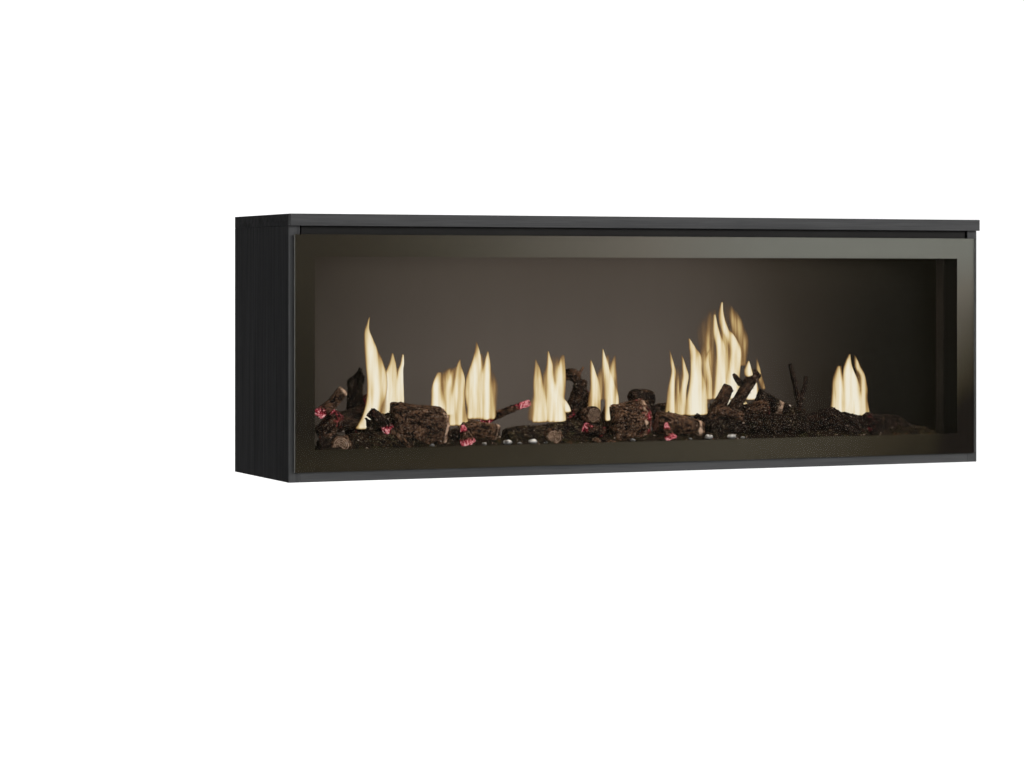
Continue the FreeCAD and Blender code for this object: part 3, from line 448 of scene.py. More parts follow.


# ---------------------------------------------------------------- logs
# Each log: its two ends as (x, depth, height) and their radii, in mm, and how it is finished. Its tone runs
# from charred to bare wood and also sets how brightly the log looks lit, a painted light; moss and the
# glows at the start and end run from 0 to 1, cut is how pale its sawn ends are.
LOGS = {
    "log_set_left": [
        dict(ends=((-509, 10, 61), (-500, 36, 61)), radii=(16, 15), tone=0.7, cut=0.85),
        dict(ends=((-497, 26, 62), (-376, 28, 57)), radii=(13, 12), tone=0.25, moss=1.0, gnarl=1.4),
        dict(ends=((-545, 36, 100), (-506, 36, 141)), radii=(9, 9), tone=0.4, glow=(1.1, 0.0), band=0.95),
        dict(ends=((-538, 42, 70), (-512, 27, 100)), radii=(17, 11), tone=0.3, glow=(0.3, 0.8)),
        dict(ends=((-471, 61, 152), (-460, 58, 62)), radii=(12, 13), tone=0.0, gnarl=1.6, glow=(0.0, 0.3)),
        dict(ends=((-484, 62, 158), (-466, 60, 163)), radii=(13, 12), tone=0.0, moss=0.5, gnarl=2.2),
        dict(ends=((-455, 57, 110), (-412, 60, 136)), radii=(16, 13), tone=0.3, glow=(0.5, 0.1)),
        dict(ends=((-520, 55, 92), (-452, 56, 106)), radii=(15, 14), tone=0.2, glow=(0.5, 0.6)),
        dict(ends=((-462, 21, 104), (-431, 16, 74)), radii=(8, 9), tone=0.15, glow=(0.2, 1.3)),
        dict(ends=((-466, 43, 86), (-422, 42, 96)), radii=(20, 17), tone=0.2, moss=0.7, gnarl=1.3),
        dict(ends=((-432, 11, 77), (-404, 8, 48)), radii=(3.6, 3.2), tone=0.6, cut=1.0, band=0.9),
        dict(ends=((-424, 44, 82), (-337, 42, 81)), radii=(35, 34), tone=0.42, gnarl=0.9, band=0.97),
        dict(ends=((-344, 48, 62), (-317, 20, 62)), radii=(15, 14), tone=0.1),
        dict(ends=((-316, 11, 79), (-305, 12, 51)), radii=(2.5, 13), tone=0.6, glow=(2.2, 1.7), cut=0.8),
        dict(ends=((-306, 43, 82), (-249, 27, 68)), radii=(18, 14), tone=0.5, cut=0.9, band=0.94),
        dict(ends=((-264, 58, 82), (-184, 60, 112)), radii=(7, 5), tone=0.3, glow=(1.1, 1.9)),
        dict(ends=((-400, 66, 112), (-350, 66, 84)), radii=(14, 12), tone=0.05),
        dict(ends=((-547, 24, 58), (-512, 22, 60)), radii=(11, 10), tone=0.05, gnarl=1.5),
    ],
    "log_set_centre": [
        dict(ends=((-236, 38, 68), (-68, 40, 65)), radii=(18, 20), tone=0.2, moss=0.9, gnarl=1.4),
        dict(ends=((-163, 9, 58), (-158, 34, 60)), radii=(14, 13), tone=0.5, cut=0.7, glow=(0.0, 0.2)),
        dict(ends=((-115, 50, 148), (-131, 52, 76)), radii=(9, 13), tone=0.25, glow=(0.0, 0.5), gnarl=1.7),
        dict(ends=((-124, 50, 156), (-102, 48, 146)), radii=(10, 8), tone=0.35, gnarl=1.8),
        dict(ends=((-112, 50, 150), (-97, 48, 166)), radii=(4, 2), tone=0.6, cut=0.7),
        dict(ends=((-120, 58, 98), (-76, 60, 114)), radii=(15, 18), tone=0.15, glow=(0.5, 0.6), gnarl=1.4),
        dict(ends=((-85, 25, 92), (-89, 58, 95)), radii=(14, 15), tone=0.35, cut=0.5),
        dict(ends=((-103, 20, 78), (-76, 17, 63)), radii=(8, 9), tone=0.25, glow=(1.2, 0.6)),
        dict(ends=((-98, 8, 52), (-58, 9, 49)), radii=(3.5, 3.5), tone=0.6, cut=1.0),
        dict(ends=((-56, 43, 80), (8, 42, 80)), radii=(34, 35), tone=0.45, glow=(0.0, 0.6), gnarl=0.9,
             band=0.86),
        dict(ends=((-8, 56, 112), (30, 58, 119)), radii=(14, 12), tone=0.15),
        dict(ends=((34, 12, 76), (42, 12, 51)), radii=(2.5, 10), tone=0.6, glow=(2.2, 1.7), cut=0.8),
        dict(ends=((28, 38, 78), (102, 26, 64)), radii=(18, 14), tone=0.5, cut=0.8, band=0.9),
        dict(ends=((96, 38, 84), (119, 38, 84)), radii=(9, 9), tone=0.0),
        dict(ends=((10, 60, 96), (98, 62, 92)), radii=(12, 14), tone=0.05),
    ],
    "log_set_right": [
        dict(ends=((117, 36, 68), (290, 38, 63)), radii=(20, 21), tone=0.05, moss=0.35, gnarl=1.5),
        dict(ends=((118, 45, 78), (154, 47, 135)), radii=(12, 10), tone=0.3, cut=0.3),
        dict(ends=((150, 50, 82), (214, 42, 152)), radii=(11, 9), tone=0.25, gnarl=1.2),
        dict(ends=((186, 50, 132), (176, 52, 158)), radii=(6, 4), tone=0.15, gnarl=1.5),
        dict(ends=((186, 42, 92), (224, 33, 98)), radii=(17, 14), tone=0.3, cut=0.4, glow=(0.0, 0.3)),
        dict(ends=((130, 30, 92), (176, 26, 88)), radii=(8, 9), tone=0.45, cut=0.7, gnarl=1.5),
        dict(ends=((222, 60, 120), (302, 50, 82)), radii=(13, 12), tone=0.1, moss=0.4, band=0.5),
        dict(ends=((283, 61, 164), (307, 58, 70)), radii=(3.5, 6), tone=0.1, gnarl=1.5),
        dict(ends=((309, 62, 144), (298, 58, 104)), radii=(3, 5), tone=0.1, gnarl=1.5),
        dict(ends=((284, 42, 66), (356, 44, 70)), radii=(20, 24), tone=0.03, gnarl=1.7, glow=(0.0, 0.2)),
        dict(ends=((350, 42, 68), (424, 42, 74)), radii=(24, 25), tone=0.0, gnarl=1.8),
        dict(ends=((404, 40, 72), (482, 40, 60)), radii=(26, 17), tone=0.05, glow=(0.3, 0.2), gnarl=1.8),
        dict(ends=((470, 42, 58), (526, 42, 52)), radii=(17, 9), tone=0.05, gnarl=1.7),
    ],
}
RIM_STEPS = 5
BARK_CELL = 1.5 * MM
MOST_AROUND = 150


def bark_height(point, along):
    """Ridges that run along a log, in parts of their full height."""
    stretched = Vector((point.x, point.y, along * 0.42))
    height = 0.0
    for frequency, share in ((150, 0.45), (370, 0.33), (800, 0.22)):
        height += share * (1.0 - abs(noise.noise(stretched * frequency)) * 2.0)
    return height


def add_log(mould, seed, ends, radii, tone, moss=0.0, glow=(0.0, 0.0), cut=0.0, gnarl=1.0, band=None):
    """One bark-covered log with irregular sawn or broken ends."""
    start, end = place(*ends[0]), place(*ends[1])
    length = (end - start).length
    turn = (end - start).to_track_quat("Z", "Y")
    radius_a, radius_b = radii[0] * MM, radii[1] * MM
    around = max(24, min(MOST_AROUND, int(2 * math.pi * max(radius_a, radius_b) / BARK_CELL)))
    rows = max(8, int(length / BARK_CELL))
    shift = Vector((seed * 3.71, seed * 1.93, seed * 7.13))
    bend = min(radius_a, 0.01) * 0.5 * gnarl

    def surface(row, step, inward):
        share = row / rows
        angle = 2 * math.pi * step / around
        direction = Vector((math.cos(angle), math.sin(angle), 0))
        radius = radius_a + (radius_b - radius_a) * share
        along = share * length
        local = direction * radius + shift
        lump = noise.noise(Vector((local.x * 28, local.y * 28, along * 20 + seed)))
        ridge = bark_height(local, along + seed)
        end_round = 1.0 - 0.10 * max(0.0, 1.0 - min(share, 1 - share) * length / (0.25 * radius)) ** 2
        skin = radius * end_round * (1.0 + 0.14 * gnarl * lump)
        skin += (0.08 * radius + 0.0008) * gnarl * (ridge - 0.55)
        skin *= inward
        tear = Vector((direction.x * 2.3, direction.y * 2.3, seed * 2.0))
        ragged = 0.16 * radius * gnarl * noise.noise(tear)
        end_pull = 1.0 if share in (0.0, 1.0) else max(0.0, 1 - min(share, 1 - share) * 6)
        sway = bend * math.sin(share * 3.1 + seed)
        axis = Vector((sway, bend * math.cos(share * 2.3 + seed * 2) - bend, 0))
        pit = Vector((direction.x * inward * 9, direction.y * inward * 9, seed))
        dish = (1 - inward) * 0.0016 * noise.noise(pit)
        depth = along + ragged * end_pull + dish * (1 if share == 0 else -1)
        here = start + turn @ (direction * skin + axis + Vector((0, 0, depth)))
        here.z = max(here.z, BED_Z + 0.0002)
        return here, ridge, share

    def row_of_points(row, inward, sawn):
        row_points = []
        for step in range(around):
            here, ridge, share = surface(row, step, inward)
            patch = noise.noise(here * 60 + shift)
            heat = glow[0] * max(0, 1 - share * 2.2) + glow[1] * max(0, 1 - (1 - share) * 2.2)
            # A pale band round the log at the share given by band, coloured like the sawn ends.
            pale_band = 0.0 if band is None else max(0.0, 1.15 - abs(share - band) / 0.07 + 0.9 * patch)
            row_points.append(mould.point(
                here, ridge=ridge, tone=tone + 0.18 * patch, moss=moss * (0.6 + 0.9 * patch), warmth=heat,
                cut=max(cut * sawn, min(pale_band, 0.9)), grain=inward))
        return row_points

    rings = [row_of_points(0, (index + 0.25) / RIM_STEPS, 1.0) for index in range(RIM_STEPS)]
    rings += [row_of_points(row, 1.0, 0.0) for row in range(rows + 1)]
    rings += [row_of_points(rows, (index + 0.25) / RIM_STEPS, 1.0) for index in reversed(range(RIM_STEPS))]
    mould.ring_skin(rings)
    for ring, order in ((rings[0], 1), (rings[-1], -1)):
        middle = sum((mould.points[number] for number in ring), Vector()) / around
        hub = mould.point(middle, ridge=0.5, tone=tone, warmth=max(glow) * 0.3, cut=cut, grain=0.0)
        for step in range(around):
            corners = (ring[(step + 1) % around], ring[step], hub)
            mould.faces.append(corners[::order])


def log_finish():
    paint = Paint("painted_log", Emission_Strength=1.0, Specular_IOR_Level=0.05)
    ridge = paint.attribute("ridge")
    tone = paint.attribute("tone")
    heat = paint.attribute("warmth")
    cut = paint.attribute("cut")
    spot = paint.spot()
    fine = paint.noise(spot, 210.0, 6.0, 0.8)
    coarse = paint.noise(spot, 75.0, 3.0)
    speck = paint.noise(spot, 430.0, 2.0)
    # Painted highlight and painted shade mixed with random tone: the raised ridges are painted lighter and the
    # grooves between them near black.
    raised = (ridge * 0.40 + fine * 1.6 - 0.60).steps(0.24, 0.74)
    char = paint.blend(raised, (0.0006, 0.0003, 0.0002), (0.017, 0.0078, 0.0045))
    wood = paint.blend(raised, (0.0020, 0.0008, 0.0004), (0.245, 0.128, 0.070))
    # The tone also stands for how brightly each log looks lit: painted light over charred against bare wood.
    bark = paint.blend((tone * 1.1 + (coarse - 0.5) * 0.75).steps(0.03, 0.95), char, wood)
    mossy = paint.attribute("moss") * ((fine - 0.5) * 2.4 + (coarse - 0.5) * 1.2 + 0.58).steps(0.45, 0.85)
    green = paint.blend(speck.steps(0.48, 0.70), (0.005, 0.0055, 0.0018), (0.105, 0.092, 0.034))
    skin = paint.blend(mossy * 0.9, bark, green)
    # Pale ashy specks on the raised bark, which also serve as painted highlights.
    ash_and_highlight_specks = speck.steps(0.60, 0.68) * raised
    skin = paint.blend(ash_and_highlight_specks * 0.8, skin, (0.40, 0.31, 0.25))
    rings = paint.node("ShaderNodeMath", {"operation": "SINE"},
                       {0: paint.attribute("grain") * 30 + coarse * 9})
    sawn = paint.blend((rings * 0.30 + fine).steps(0.30, 0.85), (0.06, 0.028, 0.015), (0.62, 0.42, 0.29))
    face = paint.blend(cut.steps(0.2, 0.9) * 0.9, skin, sawn)
    # Painted glow: the ember patches give off their own light, standing in for the ember lamps that light the
    # resin.
    ember = (heat * 1.05 + (coarse - 0.5) * 2.4 + (fine - 0.5) * 3.4 - 0.38).steps(0.10, 1.0)
    ember = ember * heat.steps(0.03, 0.30)
    paint.set(Base_Color=paint.blend(ember, face, (0.10, 0.006, 0.012)))
    paint.set(Roughness=0.75 - speck.steps(0.5, 0.75) * 0.35)
    hot = paint.ramp(ember * (speck * 0.9 + fine * 0.9 - 0.12), [
        (0.0, (0.0, 0.0, 0.0)), (0.30, (0.045, 0.001, 0.004)), (0.58, (0.20, 0.007, 0.020)),
        (0.74, (0.40, 0.050, 0.070)), (0.86, (0.78, 0.36, 0.36)), (1.0, (0.92, 0.74, 0.70))])
    paint.set(Emission_Color=hot)
    paint.bump(fine * 0.7 + speck * 0.3, 0.0016, 1.0)
    return paint.material


LOG_VALUES = ("ridge", "tone", "moss", "warmth", "cut", "grain")
log_material = log_finish()
log_barks = []
for set_number, (set_name, logs) in enumerate(LOGS.items()):
    mould = Mould(LOG_VALUES)
    for number, log in enumerate(logs):
        add_log(mould, seed=1.0 + number * 1.37 + set_number * 29.0, **log)
    log_barks.append(show(mould.build(f"{set_name}_bark", log_material), CABINET, "log_resin", set_name))


# ---------------------------------------------------------------- ember bed, chips and pebbles
def bed_finish():
    paint = Paint("ember_bed", Emission_Strength=1.0, Roughness=0.85, Specular_IOR_Level=0.05)
    spot = paint.spot()
    fine = paint.noise(spot, 520.0, 4.0, 0.7)
    patch = paint.noise(spot, 45.0, 3.0)
    soil = paint.blend(fine.steps(0.35, 0.78), (0.0022, 0.0014, 0.0008), (0.048, 0.030, 0.018))
    leaf = paint.blend(patch.steps(0.50, 0.66) * 0.55, soil, (0.030, 0.031, 0.009))
    # Painted glow: the ember patches of the bed give off their own light, standing in for the ember lamps that
    # light the resin.
    ember = (patch * 0.5 + fine * 0.6).steps(0.66, 0.80)
    paint.set(Base_Color=paint.blend(ember, leaf, (0.35, 0.05, 0.045)))
    paint.set(Emission_Color=paint.ramp(ember, [(0.0, (0, 0, 0)), (1.0, (0.30, 0.012, 0.018))]))
    paint.bump(fine, 0.0012, 0.9)
    return paint.material


def chip_finish():
    paint = Paint("bark_chips", Roughness=0.8, Specular_IOR_Level=0.08)
    spot = paint.spot()
    shade = paint.noise(spot, 130.0, 2.0)
    fine = paint.noise(spot, 1300.0, 3.0)
    paint.set(Base_Color=paint.ramp(shade + (fine - 0.5) * 0.35, [
        (0.34, (0.0012, 0.0008, 0.0005)), (0.50, (0.009, 0.0052, 0.003)), (0.58, (0.034, 0.028, 0.010)),
        (0.65, (0.11, 0.062, 0.036)), (0.73, (0.58, 0.48, 0.40))]))
    paint.bump(fine, 0.0005, 0.8)
    return paint.material


def build_bed(material):
    """A lumpy bed of soil and char, highest under the middle of the logs."""
    low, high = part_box("ember_bed")
    columns, rows = 420, 26
    mould = Mould()
    grid = []
    for row in range(rows + 1):
        share = row / rows
        line = []
        for column in range(columns + 1):
            x = low.x + (high.x - low.x) * column / columns
            y = low.y + (high.y - low.y) * share
            end_fade = min(1.0, (min(x - low.x, high.x - x) + 0.002) / 0.03)
            crown = math.sin(math.pi * min(share * 5.0 + 0.08, 1.0) * 0.5) * end_fade
            lumps = noise.noise(Vector((x * 70, y * 70, 3.1))) * 0.5
            lumps += noise.noise(Vector((x * 190, y * 190, 8.7))) * 0.3
            z = low.z + 0.0012 + crown * (0.013 + 0.011 * lumps) + 0.002 * end_fade * lumps
            line.append(mould.point(Vector((x, y, max(z, low.z + 0.0005)))))
        grid.append(line)
    mould.ring_skin(grid, closed=False)
    rim = grid[0] + [line[-1] for line in grid[1:]] + grid[-1][-2::-1] + [line[0] for line in grid[-2:0:-1]]
    foot = [mould.point(Vector((mould.points[n].x, mould.points[n].y, low.z))) for n in rim]
    mould.ring_skin([foot, rim])
    mould.faces.append(tuple(reversed(foot)))
    return mould.build("ember_bed_soil", material)


def wedge_of_bark(material):
    """A small splinter of bark that is repeated all over the bed."""
    mould = Mould()
    profile = ((-1.0, 0.25, 0.12), (-0.45, 0.55, 0.30), (0.25, 0.48, 0.36), (1.0, 0.18, 0.10))
    rings = []
    for along, wide, tall in profile:
        rings.append([mould.point(Vector((along, wide * math.cos(a), tall * math.sin(a))))
                      for a in (0.4, 1.7, 2.9, 4.3, 5.4)])
    mould.ring_skin(rings)
    mould.faces.append(tuple(reversed(rings[0])))
    mould.faces.append(tuple(rings[-1]))
    return mould.build("bark_splinter", material, smooth=False)


def scatter_tree(name):
    """Geometry nodes that strew copies of one object over the faces of a mesh."""
    tree = bpy.data.node_groups.new(name, "GeometryNodeTree")
    for label, kind in (("Geometry", "NodeSocketGeometry"), ("Chip", "NodeSocketObject"),
                        ("Density", "NodeSocketFloat"), ("Smallest", "NodeSocketFloat"),
                        ("Largest", "NodeSocketFloat"), ("Seed", "NodeSocketInt"),
                        ("Material", "NodeSocketMaterial")):
        tree.interface.new_socket(label, in_out="INPUT", socket_type=kind)
    tree.interface.new_socket("Geometry", in_out="OUTPUT", socket_type="NodeSocketGeometry")
    given = tree.nodes.new("NodeGroupInput")
    strew = tree.nodes.new("GeometryNodeDistributePointsOnFaces")
    chip = tree.nodes.new("GeometryNodeObjectInfo")
    copies = tree.nodes.new("GeometryNodeInstanceOnPoints")
    turn = tree.nodes.new("FunctionNodeRandomValue")
    turn.data_type = "FLOAT_VECTOR"
    grow = tree.nodes.new("FunctionNodeRandomValue")
    real = tree.nodes.new("GeometryNodeRealizeInstances")
    paint = tree.nodes.new("GeometryNodeSetMaterial")
    result = tree.nodes.new("NodeGroupOutput")
    turn.inputs["Min"].default_value = (-0.7, -0.7, -math.pi)
    turn.inputs["Max"].default_value = (0.7, 0.7, math.pi)
    links = [(given, "Geometry", strew, "Mesh"), (given, "Density", strew, "Density"),
             (given, "Seed", strew, "Seed"), (given, "Chip", chip, "Object"),
             (strew, "Points", copies, "Points"),
             (chip, "Geometry", copies, "Instance"), (turn, "Value", copies, "Rotation"),
             (given, "Seed", turn, "Seed"), (given, "Smallest", grow, 2), (given, "Largest", grow, 3),
             (grow, 1, copies, "Scale"), (copies, "Instances", real, "Geometry"),
             (real, "Geometry", paint, "Geometry"), (given, "Material", paint, "Material"),
             (paint, "Geometry", result, "Geometry")]
    for source, out, target, into in links:
        tree.links.new(source.outputs[out], target.inputs[into])
    return tree


def strewn(name, ground, chip, tree, material, **sizes):
    """The plain mesh of copies strewn over the ground, which itself isn't part of it."""
    carrier = bpy.data.objects.new(f"{name}_carrier", ground.data)
    bpy.context.scene.collection.objects.link(carrier)
    modifier = carrier.modifiers.new("strew", "NODES")
    modifier.node_group = tree
    values = {"Chip": chip, "Material": material, **sizes}
    for item in tree.interface.items_tree:
        if item.in_out == "INPUT" and item.name in values:
            modifier[item.identifier] = values[item.name]
    bpy.context.view_layer.update()
    ready = carrier.evaluated_get(bpy.context.evaluated_depsgraph_get())
    mesh = bpy.data.meshes.new_from_object(ready)
    mesh.name = name
    bpy.data.objects.remove(carrier)
    piece = bpy.data.objects.new(name, mesh)
    bpy.context.scene.collection.objects.link(piece)
    return piece


def pebble_finish():
    paint = Paint("white_pebble", Roughness=0.42)
    spot = paint.spot()
    shade = paint.noise(spot, 190.0, 3.0)
    fine = paint.noise(spot, 1500.0, 3.0)
    # Painted shade: each pebble is near black down by the bed and has the stone's colour only above it.
    crown = paint.along("Z").steps(BED_Z, BED_Z + 0.008)
    stone = paint.blend(shade.steps(0.35, 0.68), (0.10, 0.09, 0.08), (0.80, 0.78, 0.74))
    paint.set(Base_Color=paint.blend(crown, (0.02, 0.018, 0.014), stone))
    paint.bump(fine, 0.0002, 0.6)
    return paint.material


# Each pebble: x from the middle and radius, in mm.
PEBBLES = [(-366, 3.5), (-280, 3.5), (-241, 6), (-221, 3), (-199, 6), (-177, 3), (-27, 3.5), (74, 3),
           (107, 6), (148, 6), (168, 3)]


def build_pebbles(material):
    """Smooth, slightly flattened stones along the front of the bed."""
    mould = Mould()
    low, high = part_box("ember_pebbles")
    rows, around = 12, 20
    for number, (x, size) in enumerate(PEBBLES):
        centre = Vector((x * MM, (low.y + high.y) / 2, BED_Z + size * MM * 0.62))
        rings = []
        for row in range(rows + 1):
            lift = math.pi * (row / rows - 0.5) * 0.985
            ring = []
            for step in range(around):
                angle = 2 * math.pi * step / around
                reach = math.cos(lift)
                out = Vector((math.cos(angle) * reach, math.sin(angle) * reach, math.sin(lift)))
                swell = 1.0 + 0.16 * noise.noise(out * 1.4 + Vector((number * 5.0, 0, 0)))
                here = Vector((out.x * 1.25, out.y * 0.95, out.z * 0.80)) * size * MM * swell
                ring.append(mould.point(centre + here))
            rings.append(ring)
        mould.ring_skin(rings)
        mould.faces.append(tuple(reversed(rings[0])))
        mould.faces.append(tuple(rings[-1]))
    return mould.build("ember_pebble_stones", material)


bed = show(build_bed(bed_finish()), CABINET, "ember_resin", "ember_bed")
chip_paint = chip_finish()
splinter = wedge_of_bark(chip_paint)
strew = scatter_tree("strew_chips")
show(strewn("bark_chips", bed, splinter, strew, chip_paint, Density=27500.0, Smallest=1.2 * MM,
            Largest=4.8 * MM, Seed=7), CABINET, "ember_resin")
for number, bark in enumerate(log_barks):
    show(strewn(f"bark_flakes_{number + 1}", bark, splinter, strew, chip_paint, Density=9000.0,
                Smallest=1.0 * MM, Largest=3.4 * MM, Seed=11 + number), CABINET, "log_resin")
bpy.data.objects.remove(splinter)
show(build_pebbles(pebble_finish()), CABINET, "pebble_stone", "ember_pebbles")


# ---------------------------------------------------------------- flames
# Each flame: its depth, then its tongues as (heat, points from tip to foot), a point being (x, height,
# width) in mm. Tongues that overlap melt into one sheet, and those with little heat are its amber haze.
FLAMES = [
    (40, [(1.1, [(-458, 245, 1), (-462, 226, 7), (-459, 210, 14), (-450, 175, 25), (-446, 152, 28),
                 (-446, 129, 28), (-452, 106, 24), (-458, 88, 27), (-461, 74, 38)]),
          (0.36, [(-448, 200, 6), (-438, 160, 16), (-436, 110, 16), (-452, 74, 34)])]),
    (44, [(1.0, [(-419, 190, 2), (-419, 175, 10), (-422, 157, 17), (-424, 134, 21), (-424, 117, 23),
                 (-424, 94, 26)]),
          (1.0, [(-402, 188, 2), (-403, 175, 5), (-406, 163, 7), (-408, 140, 12), (-409, 116, 16),
                 (-411, 94, 20)]),
          (0.35, [(-411, 168, 10), (-414, 140, 22), (-416, 98, 30)])]),
    (40, [(1.1, [(-344, 160, 7), (-348, 139, 14), (-347, 121, 18), (-346, 100, 22)]),
          (0.7, [(-320, 166, 5), (-327, 143, 10), (-329, 127, 12), (-327, 109, 14), (-327, 92, 14)]),
          (0.95, [(-309, 180, 1), (-311, 170, 7), (-310, 150, 15), (-313, 126, 20), (-313, 103, 24),
                  (-312, 76, 32)]),
          (0.42, [(-317, 168, 16), (-328, 155, 34), (-331, 130, 38), (-330, 95, 36)])]),
    (40, [(1.0, [(-282, 206, 2), (-281, 188, 9), (-283, 170, 16), (-286, 150, 24), (-283, 126, 34),
                 (-281, 102, 30), (-281, 86, 32)]),
          (0.9, [(-263, 191, 2), (-264, 173, 10), (-267, 155, 18), (-269, 132, 26), (-268, 108, 26),
                 (-265, 84, 24)]),
          (0.34, [(-256, 166, 6), (-254, 137, 16), (-256, 86, 14)]),
          (0.42, [(-273, 188, 12), (-274, 160, 26), (-274, 84, 44)])]),
    (42, [(0.85, [(-181, 178, 2), (-178, 159, 11), (-176, 138, 17), (-174, 110, 20), (-175, 78, 24)]),
          (0.9, [(-160, 190, 2), (-158, 170, 10), (-161, 152, 16), (-156, 131, 20), (-150, 110, 26),
                 (-147, 78, 28)]),
          (0.9, [(-135, 184, 6), (-137, 165, 12), (-138, 147, 15), (-141, 129, 19), (-143, 110, 20),
                 (-143, 78, 24)]),
          (0.3, [(-184, 124, 6), (-186, 99, 16), (-186, 80, 18)]),
          (0.9, [(-140, 120, 8), (-130, 103, 12), (-125, 93, 10)]),
          (0.38, [(-148, 184, 14), (-152, 150, 34), (-160, 115, 46), (-160, 80, 62)])]),
    (42, [(0.85, [(-87, 176, 2), (-83, 156, 9), (-80, 136, 14), (-80, 115, 19), (-81, 84, 22)]),
          (1.0, [(-66, 193, 1), (-62, 169, 9), (-58, 150, 13), (-53, 128, 21), (-50, 108, 22),
                 (-52, 78, 18)]),
          (0.45, [(-44, 183, 4), (-48, 164, 12), (-48, 147, 14), (-47, 120, 14), (-48, 78, 10)]),
          (0.38, [(-56, 184, 8), (-62, 150, 26), (-65, 110, 36)])]),
    (40, [(0.95, [(51, 190, 1), (55, 170, 6), (58, 154, 8), (54, 132, 11), (52, 108, 13), (51, 86, 17)]),
          (0.75, [(72, 183, 1), (76, 165, 7), (79, 147, 10), (74, 124, 12), (73, 104, 15), (73, 84, 20)]),
          (1.15, [(85, 208, 1), (91, 195, 10), (97, 179, 17), (98, 156, 18), (100, 132, 26), (99, 107, 34),
                  (98, 84, 40)]),
          (0.6, [(125, 196, 1), (118, 174, 7), (120, 153, 10), (123, 135, 12), (121, 108, 16)]),
          (0.36, [(66, 166, 16), (66, 127, 30), (64, 84, 34)]),
          (0.34, [(113, 200, 12), (110, 160, 18), (112, 100, 24)])]),
    (54, [(0.95, [(138, 246, 4), (142, 216, 11), (149, 192, 15), (151, 163, 17), (150, 130, 22),
                  (148, 108, 26)]),
          (0.95, [(152, 265, 3), (150, 245, 9), (156, 224, 13), (168, 206, 17), (176, 187, 19),
                  (175, 167, 20), (172, 146, 22), (170, 126, 28), (168, 108, 30)]),
          (0.42, [(152, 250, 12), (158, 216, 26), (163, 184, 34), (163, 110, 44)]),
          (0.36, [(137, 254, 14), (126, 228, 32), (126, 200, 32), (131, 176, 30), (134, 132, 28),
                  (134, 108, 24)]),
          (0.34, [(157, 270, 8), (170, 245, 26), (184, 216, 26), (190, 196, 22), (189, 160, 16)])]),
    (48, [(1.0, [(197, 171, 1), (196, 156, 12), (199, 144, 15)]),
          (0.4, [(212, 176, 2), (215, 157, 7), (220, 138, 9), (225, 122, 8)])]),
    (64, [(1.2, [(216, 142, 6), (210, 127, 24), (212, 106, 30)]),
          (1.1, [(180, 114, 4), (172, 102, 22), (168, 92, 36)]),
          (1.1, [(196, 108, 4), (198, 100, 10), (198, 92, 14)])]),
    (40, [(0.95, [(361, 161, 8), (357, 141, 16), (357, 118, 19), (357, 98, 22), (357, 78, 28)]),
          (1.15, [(380, 180, 2), (377, 159, 14), (381, 137, 25), (383, 118, 30), (383, 76, 40)]),
          (0.8, [(389, 179, 2), (395, 159, 10), (404, 144, 9), (407, 124, 12), (405, 104, 16),
                 (404, 78, 26)]),
          (0.32, [(368, 150, 14), (368, 130, 18), (370, 100, 20)]),
          (0.3, [(393, 170, 14), (400, 146, 16), (400, 118, 16)])]),
]
FLAME_CELL = 1.25 * MM
FLAME_RIM = 0.035


def flame_finish():
    """Cream at the heart, amber to the edges and tips, streaked upwards, and clear at the rim."""
    paint = Paint("flame_light", Roughness=1.0, Specular_IOR_Level=0.0, Base_Color=(0.0, 0.0, 0.0),
                  Emission_Strength=1.24)
    heat = paint.attribute("warmth")
    streak = paint.noise(paint.spot((170, 20, 15)), 1.0, 2.0)
    glow = heat * (streak.steps(0.28, 0.72) * 0.40 + 0.56)
    paint.set(Emission_Color=paint.ramp(glow, [
        (0.0, (0.05, 0.022, 0.008)), (0.10, (0.13, 0.066, 0.026)), (0.22, (0.33, 0.185, 0.068)),
        (0.36, (0.64, 0.46, 0.20)), (0.50, (0.84, 0.69, 0.42)), (0.70, (0.93, 0.82, 0.59)),
        (1.0, (0.98, 0.92, 0.76))]))
    paint.set(Alpha=heat.steps(0.03, 0.44) * 0.96)
    return paint.material


def tongue_heat(x, height, strength, line):
    """Heat of one tongue over a grid: highest along its middle, nothing past its width, tip and foot."""
    path = np.array([curve_through(line, step / 48) for step in range(49)])[::-1]
    middle = np.interp(height, path[:, 1], path[:, 0])
    width = np.interp(height, path[:, 1], path[:, 2])
    away = (x - middle) / (np.maximum(width, 1.2) * 0.60)
    top, foot = path[-1, 1], path[0, 1]
    tip = np.clip((top - height) / (0.32 * (top - foot)), 0.0, 1.0) ** 0.7
    root = np.clip((height - foot) / 4.0, 0.0, 1.0)
    inside = (height < top) & (height > foot)
    return strength * np.clip(1.0 - away ** 2, 0.0, 1.0) ** 0.75 * (0.30 + 0.70 * tip) * root * inside


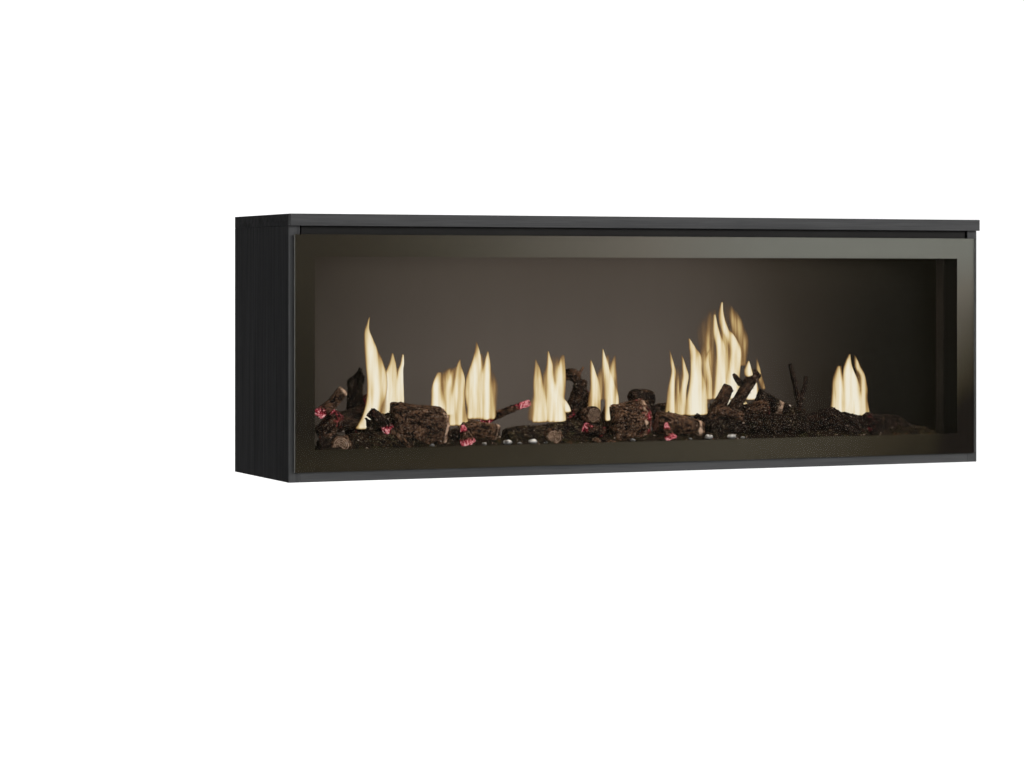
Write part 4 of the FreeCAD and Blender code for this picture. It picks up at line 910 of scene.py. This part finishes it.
def add_flame(mould, seed, depth, tongues):
    """One sheet of light, cut to the outline of its tongues and bowed to the glass where it is hottest."""
    points = np.array([point for _, line in tongues for point in line], dtype=float)
    cell = FLAME_CELL / MM
    xs = np.arange(points[:, 0].min() - 26, points[:, 0].max() + 26, cell)
    heights = np.arange(points[:, 1].min() - 2, points[:, 1].max() + 2, cell)
    x, height = np.meshgrid(xs, heights)
    heat = sum(tongue_heat(x, height, strength, line) ** 3 for strength, line in tongues) ** (1 / 3)
    streaks = np.array([[noise.noise(Vector((seed + u * 0.16, v * 0.016, seed))) for u in xs]
                        for v in heights])
    heat = heat * (1.0 + 0.75 * streaks)
    slope_z, slope_x = np.gradient(heat, cell)
    steep = np.maximum(slope_x ** 2 + slope_z ** 2, 1e-4)
    short = np.where(heat < FLAME_RIM, np.clip((FLAME_RIM - heat) / steep, 0, None), 0.0)
    move_x = np.clip(short * slope_x, -cell, cell)
    move_z = np.clip(short * slope_z, -cell, cell)
    numbers = {}

    def number(row, column):
        if (row, column) not in numbers:
            value = max(heat[row, column], 0.0)
            bow = 7.0 * math.sqrt(min(value, 1.0))
            here = place(x[row, column] + move_x[row, column], depth - bow,
                         height[row, column] + move_z[row, column])
            numbers[row, column] = mould.point(here, warmth=value)
        return numbers[row, column]

    lit = heat > FLAME_RIM
    some = lit[:-1, :-1] | lit[1:, :-1] | lit[:-1, 1:] | lit[1:, 1:]
    for row, column in np.argwhere(some):
        mould.faces.append((number(row, column), number(row, column + 1), number(row + 1, column + 1),
                            number(row + 1, column)))


flames = Mould(("warmth",))
for flame_number, (depth, tongues) in enumerate(FLAMES):
    add_flame(flames, 3.7 * flame_number + 1.3, depth, tongues)
show(flames.build("flames", flame_finish()), CABINET, "screen_acrylic")


# ---------------------------------------------------------------- studio
def soft_light(name, location, target, size, energy, colour=(1.0, 1.0, 1.0)):
    light = bpy.data.lights.new(name, "AREA")
    light.shape = "RECTANGLE"
    light.size, light.size_y = size
    light.energy = energy
    light.color = colour
    lamp = bpy.data.objects.new(name, light)
    lamp.location = location
    lamp.rotation_euler = (Vector(target) - Vector(location)).to_track_quat("-Z", "Y").to_euler()
    lamp.visible_camera = False
    bpy.context.scene.collection.objects.link(lamp)
    return lamp


def studio():
    """A pale floor that sweeps up into a far wall, pale surroundings and soft lights."""
    paint = Paint("studio_white", Base_Color=(0.9, 0.9, 0.9), Roughness=0.9, Specular_IOR_Level=0.0)
    mould = Mould()
    floor_z, near, far, wide, tall, sweep = BASE_Z - 1.6, -60.0, 7.5, 60.0, 7.0, 2.5
    profile = [(near, floor_z), (far - sweep, floor_z)]
    profile += [(far - sweep + sweep * math.sin(a), floor_z + sweep * (1 - math.cos(a)))
                for a in (math.pi / 2 * step / 16 for step in range(1, 17))]
    profile.append((far, tall))
    rows = [[mould.point(Vector((x, y, z))) for x in (-wide, wide)] for y, z in profile]
    mould.ring_skin(rows, closed=False)
    mould.build("studio_sweep", paint.material)
    world = bpy.data.worlds.new("studio")
    bpy.context.scene.world = world
    world.use_nodes = True
    sky = next(node for node in world.node_tree.nodes if node.type == "BACKGROUND")
    sky.inputs["Color"].default_value = (1.0, 1.0, 1.0, 1.0)
    sky.inputs["Strength"].default_value = 0.55
    soft_light("key_softbox", (1.8, -4.8, 1.2), (0.0, -0.25, -0.1), (2.4, 1.6), 300.0)
    soft_light("sweep_light", (0.0, 1.5, 5.5), (0.0, 6.5, 0.0), (12.0, 3.0), 520.0)
    soft_light("firebox_light", place(0, 35, 335), place(0, 45, 0), (1.0, 0.03), 1.2, (1.0, 0.86, 0.7))


def studio_camera():
    camera = bpy.data.cameras.new("camera")
    camera.sensor_width = 36.0
    camera.lens = 97.9
    camera.shift_y = -0.1051
    holder = bpy.data.objects.new("camera", camera)
    holder.location = (-1.94057, -4.18403, -0.03412)
    holder.rotation_euler = (math.radians(90), 0, -math.radians(23.45))
    bpy.context.scene.collection.objects.link(holder)
    bpy.context.scene.camera = holder


studio()
studio_camera()
bpy.context.scene.view_settings.view_transform = "Standard"
